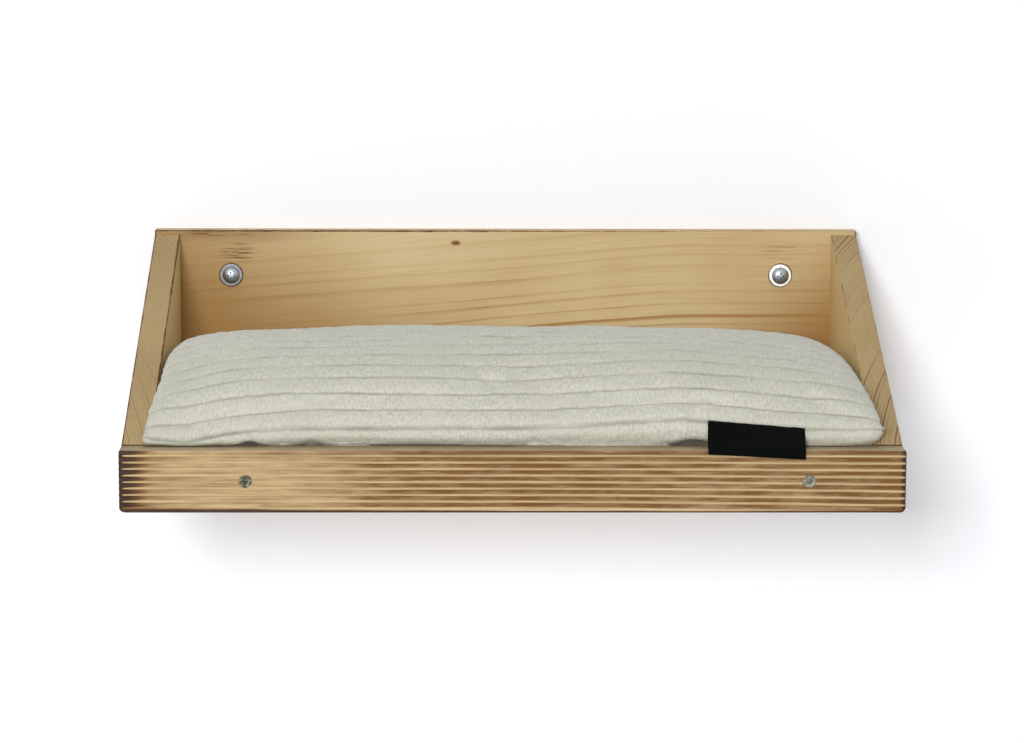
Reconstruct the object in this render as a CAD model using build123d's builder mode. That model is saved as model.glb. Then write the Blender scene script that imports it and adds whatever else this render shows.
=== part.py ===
"""Cat wall alcove: a shallow spruce tray that hangs on a wall, with a loose cushion in it.

The origin is midway between the two wall screws, on the rear face of the back board.
+X runs to the right, +Y into the wall and +Z up. All lengths are in millimetres.
"""

import os
from math import cos, pi, sqrt

from build123d import *

# Overall sizes of the tray
overall_width = 500.0
overall_depth = 300.0
back_height = 150.0
rail_height = 40.0

# Boards
board_thickness = 18.0
rail_thickness = 18.0
floor_thickness = 18.0
side_top_drop = 2.5
board_edge_radius = 1.0

# Grooves of the decking rail
groove_count = 9
groove_pitch = 4.0
groove_width = 2.2
groove_depth = 1.1
groove_lip_radius = 0.3
first_groove_drop = 2.0
rail_edge_radius = 0.5
rail_bottom_corner_radius = 3.5
rail_top_corner_radius = 1.3

# Wall screws and their washers
wall_screw_end_distance = 54.0
wall_screw_drop = 31.5
wall_screw_hole_diameter = 6.5
wall_screw_head_diameter = 12.0
wall_screw_head_height = 4.0
wall_screw_rim_height = 1.2
wall_screw_shank_diameter = 4.3
wall_screw_thread_diameter = 6.0
wall_screw_thread_length = 34.0
wall_screw_thread_start = 0.5
wall_screw_tip_length = 6.0
dome_run_share = 0.6
dome_rise_share = 0.78
washer_diameter = 16.0
washer_bore_diameter = 6.4
washer_thickness = 1.5
washer_edge_radius = 0.4

# Countersunk screws that hold the boards together
joint_screw_head_diameter = 8.2
joint_screw_head_height = 2.1
joint_screw_diameter = 4.0
joint_screw_length = 40.0
joint_screw_tip_length = 4.0
front_screw_sink = 1.2
screw_clearance = 0.1

# Cross recesses in the screw heads
joint_recess_span = 4.4
joint_recess_wing_width = 1.1
joint_recess_depth = 1.8
wall_recess_span = 6.0
wall_recess_wing_width = 1.5
wall_recess_depth = 2.4
recess_taper_degrees = 8.0

# Places of the screws
front_screw_left_inset = 80.0
front_screw_right_inset = 61.5
side_screw_end_distance = 50.0
back_screw_upper_drop = 40.0
back_screw_lower_rise = 60.0
back_floor_screw_inset = 110.0

# Cushion
cushion_thickness = 71.0
cushion_seam_height = 22.5
cushion_floor_gap = 0.3
cushion_side_gap = 0.5
cushion_screw_gap = 0.5
cushion_front_overhang = 5.0
cushion_draw_in = 4.0
cushion_end_draw_in = 2.5
cushion_corner_round = 6.0
cushion_underside_tuck = 9.0
cover_thickness = 2.0
filling_gap = 0.3

# Shape of the crown, as shares of the cushion's own depth, rise and half width
shoulder_run_share = 0.095
shoulder_rise_share = 0.57
shoulder_bulge_run_share = 0.36
shoulder_bulge_rise_share = 0.59
end_crown_share = 0.36
end_underside_share = 0.4
crown_power = 7
corner_power = 20
underside_power = 12
cushion_section_count = 21

# Woven label in the cushion's front seam
label_width = 62.0
label_thickness = 1.0
label_end_distance = 95.5
label_hang = 5.0
label_seam_gap = 0.3
label_rail_gap = 0.4
label_bend_radius = 3.0

# How far a cutting shape runs past the wood that it cuts
cut_overrun = 1.0

# Levels and faces that several pieces share
top_z = wall_screw_drop
bottom_z = top_z - back_height
rail_top_z = bottom_z + rail_height
half_width = overall_width / 2
inner_half_width = half_width - board_thickness
back_front_y = -board_thickness
rail_front_y = -overall_depth
rail_rear_y = rail_front_y + rail_thickness
side_rear_top_z = top_z - side_top_drop
floor_bottom_z = bottom_z + (rail_height - floor_thickness) / 2
floor_top_z = floor_bottom_z + floor_thickness
floor_middle_z = (floor_bottom_z + floor_top_z) / 2
side_middle_x = half_width - board_thickness / 2
wall_screw_x = half_width - wall_screw_end_distance

# Directions in which the screws run
into_wall = Vector(0, 1, 0)
out_of_wall = Vector(0, -1, 0)
to_the_right = Vector(1, 0, 0)
to_the_left = Vector(-1, 0, 0)


def entry_plane(point, direction):
    """Plane on a board's face where a screw goes in, with its normal towards the screw's head."""
    return Plane(origin=point, x_dir=direction.cross(Vector(0, 0, 1)), z_dir=-direction)


def axial_plane(entry):
    """Plane through a screw's axis: its x runs outwards and its y runs along the screw."""
    return Plane(origin=entry.origin, x_dir=entry.x_dir, z_dir=entry.y_dir)


def cut_cross_recess(face_plane, span, wing_width, depth):
    """Cut a cross recess, drawn on the plane of the screw head's face, into that head."""
    with BuildSketch(face_plane) as cross:
        Rectangle(span, wing_width)
        Rectangle(wing_width, span)
    extrude(cross.sketch, amount=-depth, taper=recess_taper_degrees, mode=Mode.SUBTRACT)


def joint_screw(entry, sink=0.0):
    """Countersunk wood screw with its head level with the entry plane, or sunk below it."""
    head_plane = entry.offset(-sink)
    profile_plane = axial_plane(head_plane)
    head_radius = joint_screw_head_diameter / 2
    shank_radius = joint_screw_diameter / 2
    with BuildPart() as screw:
        with BuildSketch(profile_plane):
            with BuildLine():
                Polyline(
                    (0, 0),
                    (head_radius, 0),
                    (shank_radius, joint_screw_head_height),
                    (shank_radius, joint_screw_length - joint_screw_tip_length),
                    (0, joint_screw_length),
                    close=True,
                )
            make_face()
        revolve(axis=Axis(head_plane.origin, head_plane.z_dir))
        cut_cross_recess(head_plane, joint_recess_span, joint_recess_wing_width, joint_recess_depth)
    return screw


def cut_joint_screw_seat(entry, sink=0.0):
    """Cut the countersunk hole for a joint screw through the board that takes its head."""
    with Locations(entry):
        CounterSinkHole(
            radius=joint_screw_diameter / 2 + screw_clearance,
            counter_sink_radius=joint_screw_head_diameter / 2 + screw_clearance + sink,
            depth=joint_screw_length + cut_overrun,
            counter_sink_angle=90,
        )


def cut_joint_screw_pilot(entry, sink=0.0):
    """Cut the blind hole that a joint screw leaves in the board that it pulls tight."""
    with Locations(entry):
        Hole(
            radius=joint_screw_diameter / 2 + screw_clearance,
            depth=joint_screw_length + sink + screw_clearance,
        )


# Entry planes of the joint screws
front_screw_left_x = -half_width + front_screw_left_inset
front_screw_right_x = half_width - front_screw_right_inset
front_left_entry = entry_plane((front_screw_left_x, rail_front_y, floor_middle_z), into_wall)
front_right_entry = entry_plane((front_screw_right_x, rail_front_y, floor_middle_z), into_wall)
side_screw_front_y = rail_rear_y + side_screw_end_distance
side_screw_rear_y = back_front_y - side_screw_end_distance
side_entries = {
    "side_screw_left_front": entry_plane((-half_width, side_screw_front_y, floor_middle_z), to_the_right),
    "side_screw_left_rear": entry_plane((-half_width, side_screw_rear_y, floor_middle_z), to_the_right),
    "side_screw_right_front": entry_plane((half_width, side_screw_front_y, floor_middle_z), to_the_left),
    "side_screw_right_rear": entry_plane((half_width, side_screw_rear_y, floor_middle_z), to_the_left),
}
back_screw_upper_z = top_z - back_screw_upper_drop
back_screw_lower_z = bottom_z + back_screw_lower_rise
back_side_entries = {
    "back_screw_left_upper": entry_plane((-side_middle_x, 0, back_screw_upper_z), out_of_wall),
    "back_screw_left_lower": entry_plane((-side_middle_x, 0, back_screw_lower_z), out_of_wall),
    "back_screw_right_upper": entry_plane((side_middle_x, 0, back_screw_upper_z), out_of_wall),
    "back_screw_right_lower": entry_plane((side_middle_x, 0, back_screw_lower_z), out_of_wall),
}
back_floor_screw_x = half_width - back_floor_screw_inset
back_floor_entries = {
    "back_floor_screw_left": entry_plane((-back_floor_screw_x, 0, floor_middle_z), out_of_wall),
    "back_floor_screw_right": entry_plane((back_floor_screw_x, 0, floor_middle_z), out_of_wall),
}

# Entry planes of the wall screws, on the front face of the back board
wall_screw_entries = {
    "left": entry_plane((-wall_screw_x, back_front_y, 0), into_wall),
    "right": entry_plane((wall_screw_x, back_front_y, 0), into_wall),
}

# Back board, with the holes for the wall screws and the countersunk holes for the joint screws
with BuildPart() as back_board:
    with BuildSketch(Plane.XZ):
        with Locations((0, (top_z + bottom_z) / 2)):
            Rectangle(overall_width, back_height)
    extrude(amount=board_thickness)
    long_edges = back_board.edges().filter_by(Axis.X)
    rear_edges = back_board.faces().sort_by(Axis.Y)[-1].edges()
    fillet(long_edges.sort_by(Axis.Z)[-2:] + rear_edges.sort_by(Axis.Z)[:3], radius=board_edge_radius)
    for entry in wall_screw_entries.values():
        with Locations(entry):
            Hole(radius=wall_screw_hole_diameter / 2, depth=board_thickness + cut_overrun)
    for entry in list(back_side_entries.values()) + list(back_floor_entries.values()):
        cut_joint_screw_seat(entry)

# Floor board between the sides, with the blind holes of the screws that reach it
with BuildPart() as floor_board:
    with BuildSketch(Plane.XY.offset(floor_bottom_z)):
        with Locations((0, (rail_rear_y + back_front_y) / 2)):
            Rectangle(2 * inner_half_width, back_front_y - rail_rear_y)
    extrude(amount=floor_thickness)
    for entry in (front_left_entry, front_right_entry):
        cut_joint_screw_pilot(entry, front_screw_sink)
    for entry in list(side_entries.values()) + list(back_floor_entries.values()):
        cut_joint_screw_pilot(entry)


def side_board(left_face_x, side_word):
    """Side board whose top edge slopes from the back board down to the rail."""
    with BuildPart() as side:
        with BuildSketch(Plane.YZ.offset(left_face_x)):
            with BuildLine():
                Polyline(
                    (back_front_y, bottom_z),
                    (back_front_y, side_rear_top_z),
                    (rail_rear_y, rail_top_z),
                    (rail_rear_y, bottom_z),
                    close=True,
                )
            make_face()
        extrude(amount=board_thickness)
        sloping_face = side.faces().filter_by(Axis.X, reverse=True).sort_by(Axis.Z)[-1]
        fillet(sloping_face.edges().filter_by(Axis.X, reverse=True), radius=board_edge_radius)
        for name, entry in side_entries.items():
            if side_word in name:
                cut_joint_screw_seat(entry)
        for name, entry in back_side_entries.items():
            if side_word in name:
                cut_joint_screw_pilot(entry)
    return side


left_side = side_board(-half_width, "left")
right_side = side_board(inner_half_width, "right")

# Front rail of grooved decking over the front ends of the sides
with BuildPart() as front_rail:
    with BuildSketch(Plane.YZ.offset(-half_width)) as rail_profile:
        with Locations(((rail_front_y + rail_rear_y) / 2, (bottom_z + rail_top_z) / 2)):
            Rectangle(rail_thickness, rail_height)
        fillet(rail_profile.vertices(), radius=rail_edge_radius)
        groove_radius = (groove_width**2 / 4 + groove_depth**2) / (2 * groove_depth)
        groove_centre_y = rail_front_y + groove_depth - groove_radius
        first_groove_z = rail_top_z - first_groove_drop
        groove_levels = [first_groove_z - index * groove_pitch for index in range(groove_count)]
        with Locations(*[(groove_centre_y, level) for level in groove_levels]):
            Circle(groove_radius, mode=Mode.SUBTRACT)
        front_points = rail_profile.vertices().group_by(Axis.X)[0]
        groove_lips = front_points.sort_by(Axis.Y)[1:-1]
        fillet(groove_lips, radius=groove_lip_radius)
    extrude(amount=overall_width)
    with BuildSketch(Plane.XZ.offset(-rail_rear_y)) as rail_outline:
        with Locations((0, (bottom_z + rail_top_z) / 2)):
            Rectangle(overall_width, rail_height)
        fillet(rail_outline.vertices().sort_by(Axis.Y)[:2], radius=rail_bottom_corner_radius)
        fillet(rail_outline.vertices().sort_by(Axis.Y)[-2:], radius=rail_top_corner_radius)
    extrude(amount=rail_thickness, mode=Mode.INTERSECT)
    for entry in (front_left_entry, front_right_entry):
        cut_joint_screw_seat(entry, front_screw_sink)

# Joint screws
joint_screws = {
    "front_screw_left": joint_screw(front_left_entry, front_screw_sink),
    "front_screw_right": joint_screw(front_right_entry, front_screw_sink),
}
for name, entry in {**side_entries, **back_side_entries, **back_floor_entries}.items():
    joint_screws[name] = joint_screw(entry)


def wall_screw(entry):
    """Domed wood screw that seats on its washer and runs through the back board into the wall."""
    seat_plane = entry.offset(washer_thickness)
    profile_plane = axial_plane(seat_plane)
    head_radius = wall_screw_head_diameter / 2
    shank_radius = wall_screw_shank_diameter / 2
    thread_radius = wall_screw_thread_diameter / 2
    dome_rise = wall_screw_head_height - wall_screw_rim_height
    dome_middle_height = wall_screw_rim_height + dome_rise * dome_rise_share
    thread_start = washer_thickness + board_thickness + wall_screw_thread_start
    thread_end = thread_start + wall_screw_thread_length
    with BuildPart() as screw:
        with BuildSketch(profile_plane):
            with BuildLine():
                ThreePointArc(
                    (0, -wall_screw_head_height),
                    (head_radius * dome_run_share, -dome_middle_height),
                    (head_radius, -wall_screw_rim_height),
                )
                Polyline(
                    (head_radius, -wall_screw_rim_height),
                    (head_radius, 0),
                    (shank_radius, 0),
                    (shank_radius, thread_start),
                    (thread_radius, thread_start),
                    (thread_radius, thread_end),
                    (0, thread_end + wall_screw_tip_length),
                    (0, -wall_screw_head_height),
                )
            make_face()
        revolve(axis=Axis(seat_plane.origin, seat_plane.z_dir))
        dome_top = seat_plane.offset(wall_screw_head_height)
        cut_cross_recess(dome_top, wall_recess_span, wall_recess_wing_width, wall_recess_depth)
    return screw


def wall_washer(entry):
    """Flat washer under the head of a wall screw."""
    with BuildPart() as washer:
        with BuildSketch(entry):
            Circle(washer_diameter / 2)
            Circle(washer_bore_diameter / 2, mode=Mode.SUBTRACT)
        extrude(amount=washer_thickness)
        rims = washer.edges().filter_by(GeomType.CIRCLE).sort_by(SortBy.RADIUS)
        fillet(rims[-2:], radius=washer_edge_radius)
    return washer


wall_screws = {side: wall_screw(entry) for side, entry in wall_screw_entries.items()}
wall_washers = {side: wall_washer(entry) for side, entry in wall_screw_entries.items()}

# Cushion: levels and extents that its cover, filling and label share. Its rear stays clear of
# the wall screws' heads, which it passes when it is lifted out.
cushion_bottom_z = floor_top_z + cushion_floor_gap
cushion_seam_z = cushion_bottom_z + cushion_seam_height
cushion_half_width = inner_half_width - cushion_side_gap
cushion_front_corner_y = rail_rear_y - cushion_front_overhang
wall_screw_front_y = back_front_y - washer_thickness - wall_screw_head_height
cushion_rear_corner_y = wall_screw_front_y - cushion_screw_gap
cushion_middle_y = (cushion_front_corner_y + cushion_rear_corner_y) / 2


def draw_in_at(x):
    """How far the front and rear seams are pulled in at x, which is most in the middle."""
    return cushion_draw_in * (1 - (x / cushion_half_width) ** 2)


def cushion_section(share, inset):
    """Upright section at a share of the cushion's half width, with its outline moved in by the inset."""
    x = share * (cushion_half_width - inset)
    crown_share = end_crown_share + (1 - end_crown_share) * sqrt(1 - abs(share) ** crown_power)
    lift_share = end_underside_share * abs(share) ** underside_power
    pull = draw_in_at(x) + inset + cushion_corner_round * abs(share) ** corner_power
    front = cushion_front_corner_y + pull
    rear = cushion_rear_corner_y - pull
    run = (rear - front) * shoulder_run_share
    rise = (cushion_thickness - cushion_seam_height) * crown_share - inset
    crown = cushion_seam_z + rise
    shoulder = cushion_seam_z + rise * shoulder_rise_share
    bulge_run = run * shoulder_bulge_run_share
    bulge = cushion_seam_z + rise * shoulder_rise_share * shoulder_bulge_rise_share
    underside = cushion_bottom_z + inset + cushion_seam_height * lift_share
    with BuildSketch(Plane.YZ.offset(x)) as section:
        with BuildLine():
            Polyline(
                (rear, cushion_seam_z),
                (rear - cushion_underside_tuck, underside),
                (front + cushion_underside_tuck, underside),
                (front, cushion_seam_z),
            )
            ThreePointArc((front, cushion_seam_z), (front + bulge_run, bulge), (front + run, shoulder))
            ThreePointArc((front + run, shoulder), ((front + rear) / 2, crown), (rear - run, shoulder))
            ThreePointArc((rear - run, shoulder), (rear - bulge_run, bulge), (rear, cushion_seam_z))
        make_face()
    return section.sketch


def cushion_form(inset):
    """Crowned cushion form, flat underneath, with all its faces moved in by the inset."""
    end_x = cushion_half_width - inset
    angle_step = pi / (cushion_section_count - 1)
    shares = [-cos(index * angle_step) for index in range(cushion_section_count)]
    with BuildPart() as form:
        loft([cushion_section(share, inset) for share in shares], ruled=True)
        with BuildSketch(Plane.XY.offset(cushion_bottom_z + inset)):
            with BuildLine():
                front_y = cushion_front_corner_y - cut_overrun
                rear_y = cushion_rear_corner_y + cut_overrun
                pulled_in_x = end_x - cushion_end_draw_in
                Line((-end_x, rear_y), (end_x, rear_y))
                ThreePointArc((end_x, rear_y), (pulled_in_x, cushion_middle_y), (end_x, front_y))
                Line((end_x, front_y), (-end_x, front_y))
                ThreePointArc((-end_x, front_y), (-pulled_in_x, cushion_middle_y), (-end_x, rear_y))
            make_face()
        extrude(amount=cushion_thickness + cut_overrun, mode=Mode.INTERSECT)
    return form


outer_form = cushion_form(0)
cavity_form = cushion_form(cover_thickness)
filling_form = cushion_form(cover_thickness + filling_gap)
seam_plane = Plane.XY.offset(cushion_seam_z)

with BuildPart() as cushion_top_cover:
    add(outer_form.part)
    add(cavity_form.part, mode=Mode.SUBTRACT)
    split(bisect_by=seam_plane, keep=Keep.TOP)

with BuildPart() as cushion_bottom_cover:
    add(outer_form.part)
    add(cavity_form.part, mode=Mode.SUBTRACT)
    split(bisect_by=seam_plane, keep=Keep.BOTTOM)

with BuildPart() as cushion_filling:
    add(filling_form.part)

# Label sewn into the front seam, hanging over the rail
label_centre_x = half_width - label_end_distance
label_left_x = label_centre_x - label_width / 2
label_right_x = label_centre_x + label_width / 2
label_start_y = cushion_front_corner_y + draw_in_at(label_right_x) - label_seam_gap
label_offset = label_rail_gap + label_thickness / 2
with BuildPart() as cushion_label:
    with BuildSketch(Plane.YZ.offset(label_left_x)):
        with BuildLine():
            FilletPolyline(
                (label_start_y, cushion_seam_z),
                (rail_front_y - label_offset, rail_top_z + label_offset),
                (rail_front_y - label_offset, rail_top_z - label_hang),
                radius=label_bend_radius,
            )
        trace(line_width=label_thickness)
    extrude(amount=label_width)

# Name each piece and write it to its own file
pieces = {
    "back_board": back_board,
    "left_side": left_side,
    "right_side": right_side,
    "floor_board": floor_board,
    "front_rail": front_rail,
    "wall_screw_left": wall_screws["left"],
    "wall_screw_right": wall_screws["right"],
    "wall_washer_left": wall_washers["left"],
    "wall_washer_right": wall_washers["right"],
    **joint_screws,
    "cushion_top_cover": cushion_top_cover,
    "cushion_bottom_cover": cushion_bottom_cover,
    "cushion_filling": cushion_filling,
    "cushion_label": cushion_label,
}
os.makedirs("parts", exist_ok=True)
for name, piece in pieces.items():
    piece.part.label = name
    export_step(piece.part, f"parts/{name}.step")
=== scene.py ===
"""Cat wall alcove: a spruce tray with burnt edges that hangs on a wall, with a plush cushion in it.

Blender's own units are metres, and every piece is made where the CAD model has it.
"""

import math
from functools import partial
import bmesh
import bpy
import numpy
from mathutils import Matrix, Vector, noise


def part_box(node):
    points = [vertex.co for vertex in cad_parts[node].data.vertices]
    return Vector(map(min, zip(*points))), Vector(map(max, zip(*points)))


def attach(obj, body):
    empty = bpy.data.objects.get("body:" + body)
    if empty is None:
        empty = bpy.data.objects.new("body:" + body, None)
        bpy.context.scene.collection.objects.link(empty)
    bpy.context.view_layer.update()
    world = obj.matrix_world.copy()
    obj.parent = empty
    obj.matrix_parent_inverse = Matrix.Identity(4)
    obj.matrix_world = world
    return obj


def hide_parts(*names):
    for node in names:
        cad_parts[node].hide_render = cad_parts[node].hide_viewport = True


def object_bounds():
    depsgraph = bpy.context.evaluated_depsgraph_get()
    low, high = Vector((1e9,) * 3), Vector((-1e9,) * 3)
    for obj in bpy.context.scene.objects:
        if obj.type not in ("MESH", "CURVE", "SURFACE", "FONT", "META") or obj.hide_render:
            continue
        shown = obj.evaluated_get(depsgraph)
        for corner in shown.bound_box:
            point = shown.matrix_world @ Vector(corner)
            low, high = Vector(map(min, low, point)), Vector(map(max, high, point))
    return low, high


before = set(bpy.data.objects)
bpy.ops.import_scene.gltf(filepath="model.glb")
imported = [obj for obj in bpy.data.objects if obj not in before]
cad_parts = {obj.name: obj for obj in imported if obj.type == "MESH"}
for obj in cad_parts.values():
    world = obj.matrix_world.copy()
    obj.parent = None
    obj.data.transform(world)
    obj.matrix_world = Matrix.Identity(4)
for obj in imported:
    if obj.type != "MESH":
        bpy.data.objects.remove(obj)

bl_info = {
    "name": "Cat wall alcove",
    "version": (1, 0, 0),
    "blender": (4, 5, 0),
    "location": "3D View > Sidebar > Cat alcove",
    "description": "Makes a wall-hung spruce cat shelf with a ribbed plush cushion",
    "category": "Object",
}

cad_low, cad_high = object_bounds()
back_low, back_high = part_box("back_board")
rail_low, rail_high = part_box("front_rail")
side_low, side_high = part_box("right_side")
floor_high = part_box("floor_board")[1]
cover_low, cover_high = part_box("cushion_top_cover")
under_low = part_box("cushion_bottom_cover")[0]
label_low, label_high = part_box("cushion_label")
washer_low, washer_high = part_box("wall_washer_right")
washer_middle = (washer_low + washer_high) / 2
rail_height = rail_high.z - rail_low.z


# Colours and nodes

# What the word after a node's kind sets
mode_names = {
    "Math": "operation", "VectorMath": "operation", "MapRange": "interpolation_type",
    "Mix": "data_type", "TexNoise": "noise_dimensions", "TexWhiteNoise": "noise_dimensions",
}


def linear(hex_colour):
    """Turn an sRGB hex value into the linear colour that Blender's sockets take."""
    channels = []
    for start in (1, 3, 5):
        value = int(hex_colour[start:start + 2], 16) / 255
        channels.append(value / 12.92 if value <= 0.04045 else ((value + 0.055) / 1.055) ** 2.4)
    return (*channels, 1.0)


def add_node(tree, kind, inputs=(), output=None, stops=(), **settings):
    """Add a node with its settings, with values or links for its inputs, and return one output.

    A second word in the kind is the node's mode. A list of inputs fills the sockets in use, in their
    order, and without a name the output is the first in use. A ramp's stops are places and greys.
    """
    kind, _, mode = kind.partition(" ")
    node = tree.nodes.new("ShaderNode" + kind)
    if mode:
        settings[mode_names[kind]] = mode
    for name, value in settings.items():
        setattr(node, name, value)
    for index, (place, grey) in enumerate(stops):
        ramp = node.color_ramp.elements
        stop = ramp[index] if index < 2 else ramp.new(place)
        stop.position = place
        stop.color = (grey, grey, grey, 1)
    if isinstance(inputs, dict):
        pairs = [(node.inputs[name], value) for name, value in inputs.items()]
    else:
        pairs = zip([socket for socket in node.inputs if socket.enabled], inputs)
    for socket, value in pairs:
        if isinstance(value, bpy.types.NodeSocket):
            tree.links.new(value, socket)
        else:
            socket.default_value = value
    if output:
        return node.outputs[output]
    return next((socket for socket in node.outputs if socket.enabled), None)


def new_material(name):
    """Empty material, and the function that adds a node to it."""
    material = bpy.data.materials.new(name)
    material.use_nodes = True
    material.node_tree.nodes.clear()
    return material, partial(add_node, material.node_tree)


def finish_material(node, inputs):
    """Give the material its Principled shader and its output."""
    node("OutputMaterial", {"Surface": node("BsdfPrincipled", inputs)})


# Sizes and colours that a user would change


def length_value(name, description, default):
    """Length that a user can change."""
    return bpy.props.FloatProperty(
        name=name, description=description, default=default, unit="LENGTH", precision=4,
    )


def colour_value(name, description, hex_colour):
    """Colour that a user can change."""
    return bpy.props.FloatVectorProperty(
        name=name, description=description, default=linear(hex_colour), size=4, subtype="COLOR",
    )


class CatShelfCushionSizes(bpy.types.PropertyGroup):
    """Sizes of the cushion and its label."""

    crest_rise: length_value("Crest rise", "Height of the cushion's crest above its seam", 0.0482)
    crest_run: length_value("Crest run", "Distance of the crest behind the front seam", 0.0985)
    rib_pitch: length_value("Rib pitch", "Distance between the ribs of the plush", 0.0135)
    groove_width: length_value("Groove width", "Width of the groove between two ribs", 0.0012)
    groove_depth: length_value("Groove depth", "Depth of the groove between two ribs", 0.0011)
    pile_size: length_value("Pile size", "Width of one strand of the plush, coarse enough to show", 0.0012)
    label_width: length_value("Label width", "Width of the woven label", 0.062)
    label_thickness: length_value("Label thickness", "Thickness of the folded label", 0.0007)


class CatShelfWoodSizes(bpy.types.PropertyGroup):
    """Sizes of the wood's figure and of its burnt edges."""

    ring_width: length_value("Ring width", "Distance between the dark lines of the spruce", 0.0062)
    fibre_length: length_value("Fibre length", "Length of the fine streaks along the grain", 0.045)
    fibre_width: length_value("Fibre width", "Width of the fine streaks along the grain", 0.0007)
    scorch_reach: length_value("Scorch reach", "How far the burnt brown runs in from an edge", 0.007)


class CatShelfColours(bpy.types.PropertyGroup):
    """Colours of the wood, the plush, the metal and the label."""

    spruce: colour_value("Spruce", "Pale wood between the dark lines", "#dcc697")
    spruce_line: colour_value("Spruce line", "Dark line of late wood", "#ab8249")
    # Painted shade with warm bounce light in the back board's lower corners, next to the sides
    corner_shade_spruce: colour_value("Warm spruce", "Wood that the flame has warmed without browning it", "#a27b42")
    # Partly the sides' own duller wood, and partly painted shade on their sloping tops
    shaded_spruce: colour_value("Shaded spruce", "Duller wood of the sides", "#c0a775")
    dark_line: colour_value("Dark line", "Late wood where the flame went over the sides and rail", "#704b1e")
    # Painted bounce light: the sides' faces below their sloping tops are painted paler
    bounce_lit_spruce: colour_value("Fresh spruce", "Side faces, which the flame hardly touched", "#e6c98f")
    rail_spruce: colour_value("Rail spruce", "Ridges of the decking", "#d6bd8f")
    rail_top: colour_value("Rail top", "Top face of the decking, weathered grey", "#b8a98b")
    # Painted shade on the rail's top face under the cushion
    rail_top_cushion_shade: colour_value("Rubbed rail top", "Top face where the cushion rubs on it", "#83775d")
    # Painted shade in the grooves and along the seam
    groove_shade: colour_value("Groove shade", "Plush down in the grooves and at the seam", "#a09f90")
    # Painted shadow in the gaps where the cushion lies on the rail
    crevice_shade: colour_value("Crevice", "Plush in the gaps where the cushion lies on the rail", "#544b3b")
    scorch_brown: colour_value("Scorch brown", "Wood that the flame has browned", "#7a4f22")
    scorch_black: colour_value("Scorch black", "Wood that the flame has charred", "#2a1b12")
    plush: colour_value("Plush", "Cream pile of the cushion", "#d8d7c9")
    plush_shade: colour_value("Plush shade", "Pile seen down between its tufts", "#b9b9a9")
    zinc: colour_value("Zinc", "Zinc plating of the screws", "#a9b0b5")
    # Painted reflection: the right washer's plating is painted near white for the lamp it mirrors
    highlit_washer_zinc: colour_value("Bright zinc", "Fresh plating of the right washer", "#f2f4f4")
    # Painted shade: the left washer's plating is painted darker
    shaded_washer_zinc: colour_value("Dull zinc", "Dulled plating of the left washer", "#8b9091")
    stained_zinc: colour_value("Stained zinc", "Plating of the rail screws, dulled by the flame", "#96988a")
    # The stains' own dark colour, and also the painted shade that darkens the left rail screw
    stain_and_shade_zinc: colour_value("Sooty zinc", "Soot in the stains on the rail screws", "#4f4a3c")
    label: colour_value("Label", "Black yarn of the woven label", "#040606")
    paint: colour_value("Paint", "White paint of the stage's wall and floor", "#f4f5f9")


def cushion_sizes():
    """The cushion's sizes, as the scene holds them."""
    return bpy.context.scene.cat_shelf_cushion


def wood_sizes():
    """The wood's sizes, as the scene holds them."""
    return bpy.context.scene.cat_shelf_wood


def colours():
    """The colours, as the scene holds them."""
    return bpy.context.scene.cat_shelf_colours


# Spruce, planed and then brushed with a flame: pale wood, brown lines, dark edges, dull surface

# Four numbers named range are a Map Range node's: from low and high, to low and high. Two named show
# are where a noise or a burn starts to show and where it shows fully, and two named roughness are the
# smoothest and the roughest of a surface.
heart_depth = 0.012
heart_drop = 0.24
warp_reach = 0.09
warp_along_share = 0.35
warp_strength = 0.006
warp_noise = {"Scale": 1, "Detail": 2, "Roughness": 0.45}
uneven_noise = {"Scale": 0.35, "Detail": 2}
uneven_years = 2.2
own_strength_share = 0.75
line_swell_reach = 0.07
line_strength_range = (0.45, 1.1, 0.12, 1)
line_profile = ((0, 0), (0.6, 0.06), (0.92, 1), (1, 0))
fibre_noise = {"Scale": 1, "Detail": 3, "Roughness": 0.6}
fibre_show = (0.42, 0.72)
fibre_darkness = 0.55
speck_length = 0.009
speck_width = 0.0009
speck_show = (0.6, 0.74)
speck_darkness = 0.5
middle_show = (0.3, 0.7)
tone_reach = 0.11
tone_darkness = 0.3
scorch_noise_size = 0.012
scorch_raggedness = 1.5
brown_show = (0, 0.6)
char_show = (0.6, 1)
spruce_roughness = (0.52, 0.72)
spruce_bump_strength = 0.55
grain_bump_height = 0.00018
wood_gloss = {"IOR": 1.5, "Specular IOR Level": 0.3}


def wood_figure(node, along, through, across, heart, ring_width):
    """Dark lines of the tree's years round its heart, from 0 to 1."""
    stretched = node("CombineXYZ", [along, through, across])
    scale = (warp_along_share / warp_reach, 1 / warp_reach, 1 / warp_reach)
    slow = node("VectorMath MULTIPLY", [stretched, scale])
    warp = node("TexNoise", {"Vector": slow, **warp_noise})
    moved_across = node("Math MULTIPLY_ADD", [warp, 2 * warp_strength, across])
    section = node("CombineXYZ", [0, through, moved_across])
    radius = node("VectorMath LENGTH", [node("VectorMath SUBTRACT", [section, heart])])
    years = node("Math MULTIPLY", [radius, 1 / ring_width])
    uneven = node("TexNoise 1D", {"W": years, **uneven_noise})
    years = node("Math MULTIPLY_ADD", [uneven, uneven_years, years])
    own = node("TexWhiteNoise 1D", {"W": node("Math FLOOR", [years])})
    swell = node("TexNoise", {"Vector": stretched, "Scale": 1 / line_swell_reach, "Detail": 3})
    strength = node("Math MULTIPLY_ADD", [own, own_strength_share, swell])
    strength = node("MapRange SMOOTHSTEP", [strength, *line_strength_range])
    line = node("ValToRGB", [node("Math FRACT", [years])], stops=line_profile)
    return node("Math MULTIPLY", [line, strength])


def wood_fibres(node, along, through, across, length, width):
    """Fine streaks along the grain, from 0 to 1."""
    place = node("CombineXYZ", [along, through, across])
    place = node("VectorMath MULTIPLY", [place, (1 / length, 1 / width, 1 / width)])
    return node("TexNoise", {"Vector": place, **fibre_noise})


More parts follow.
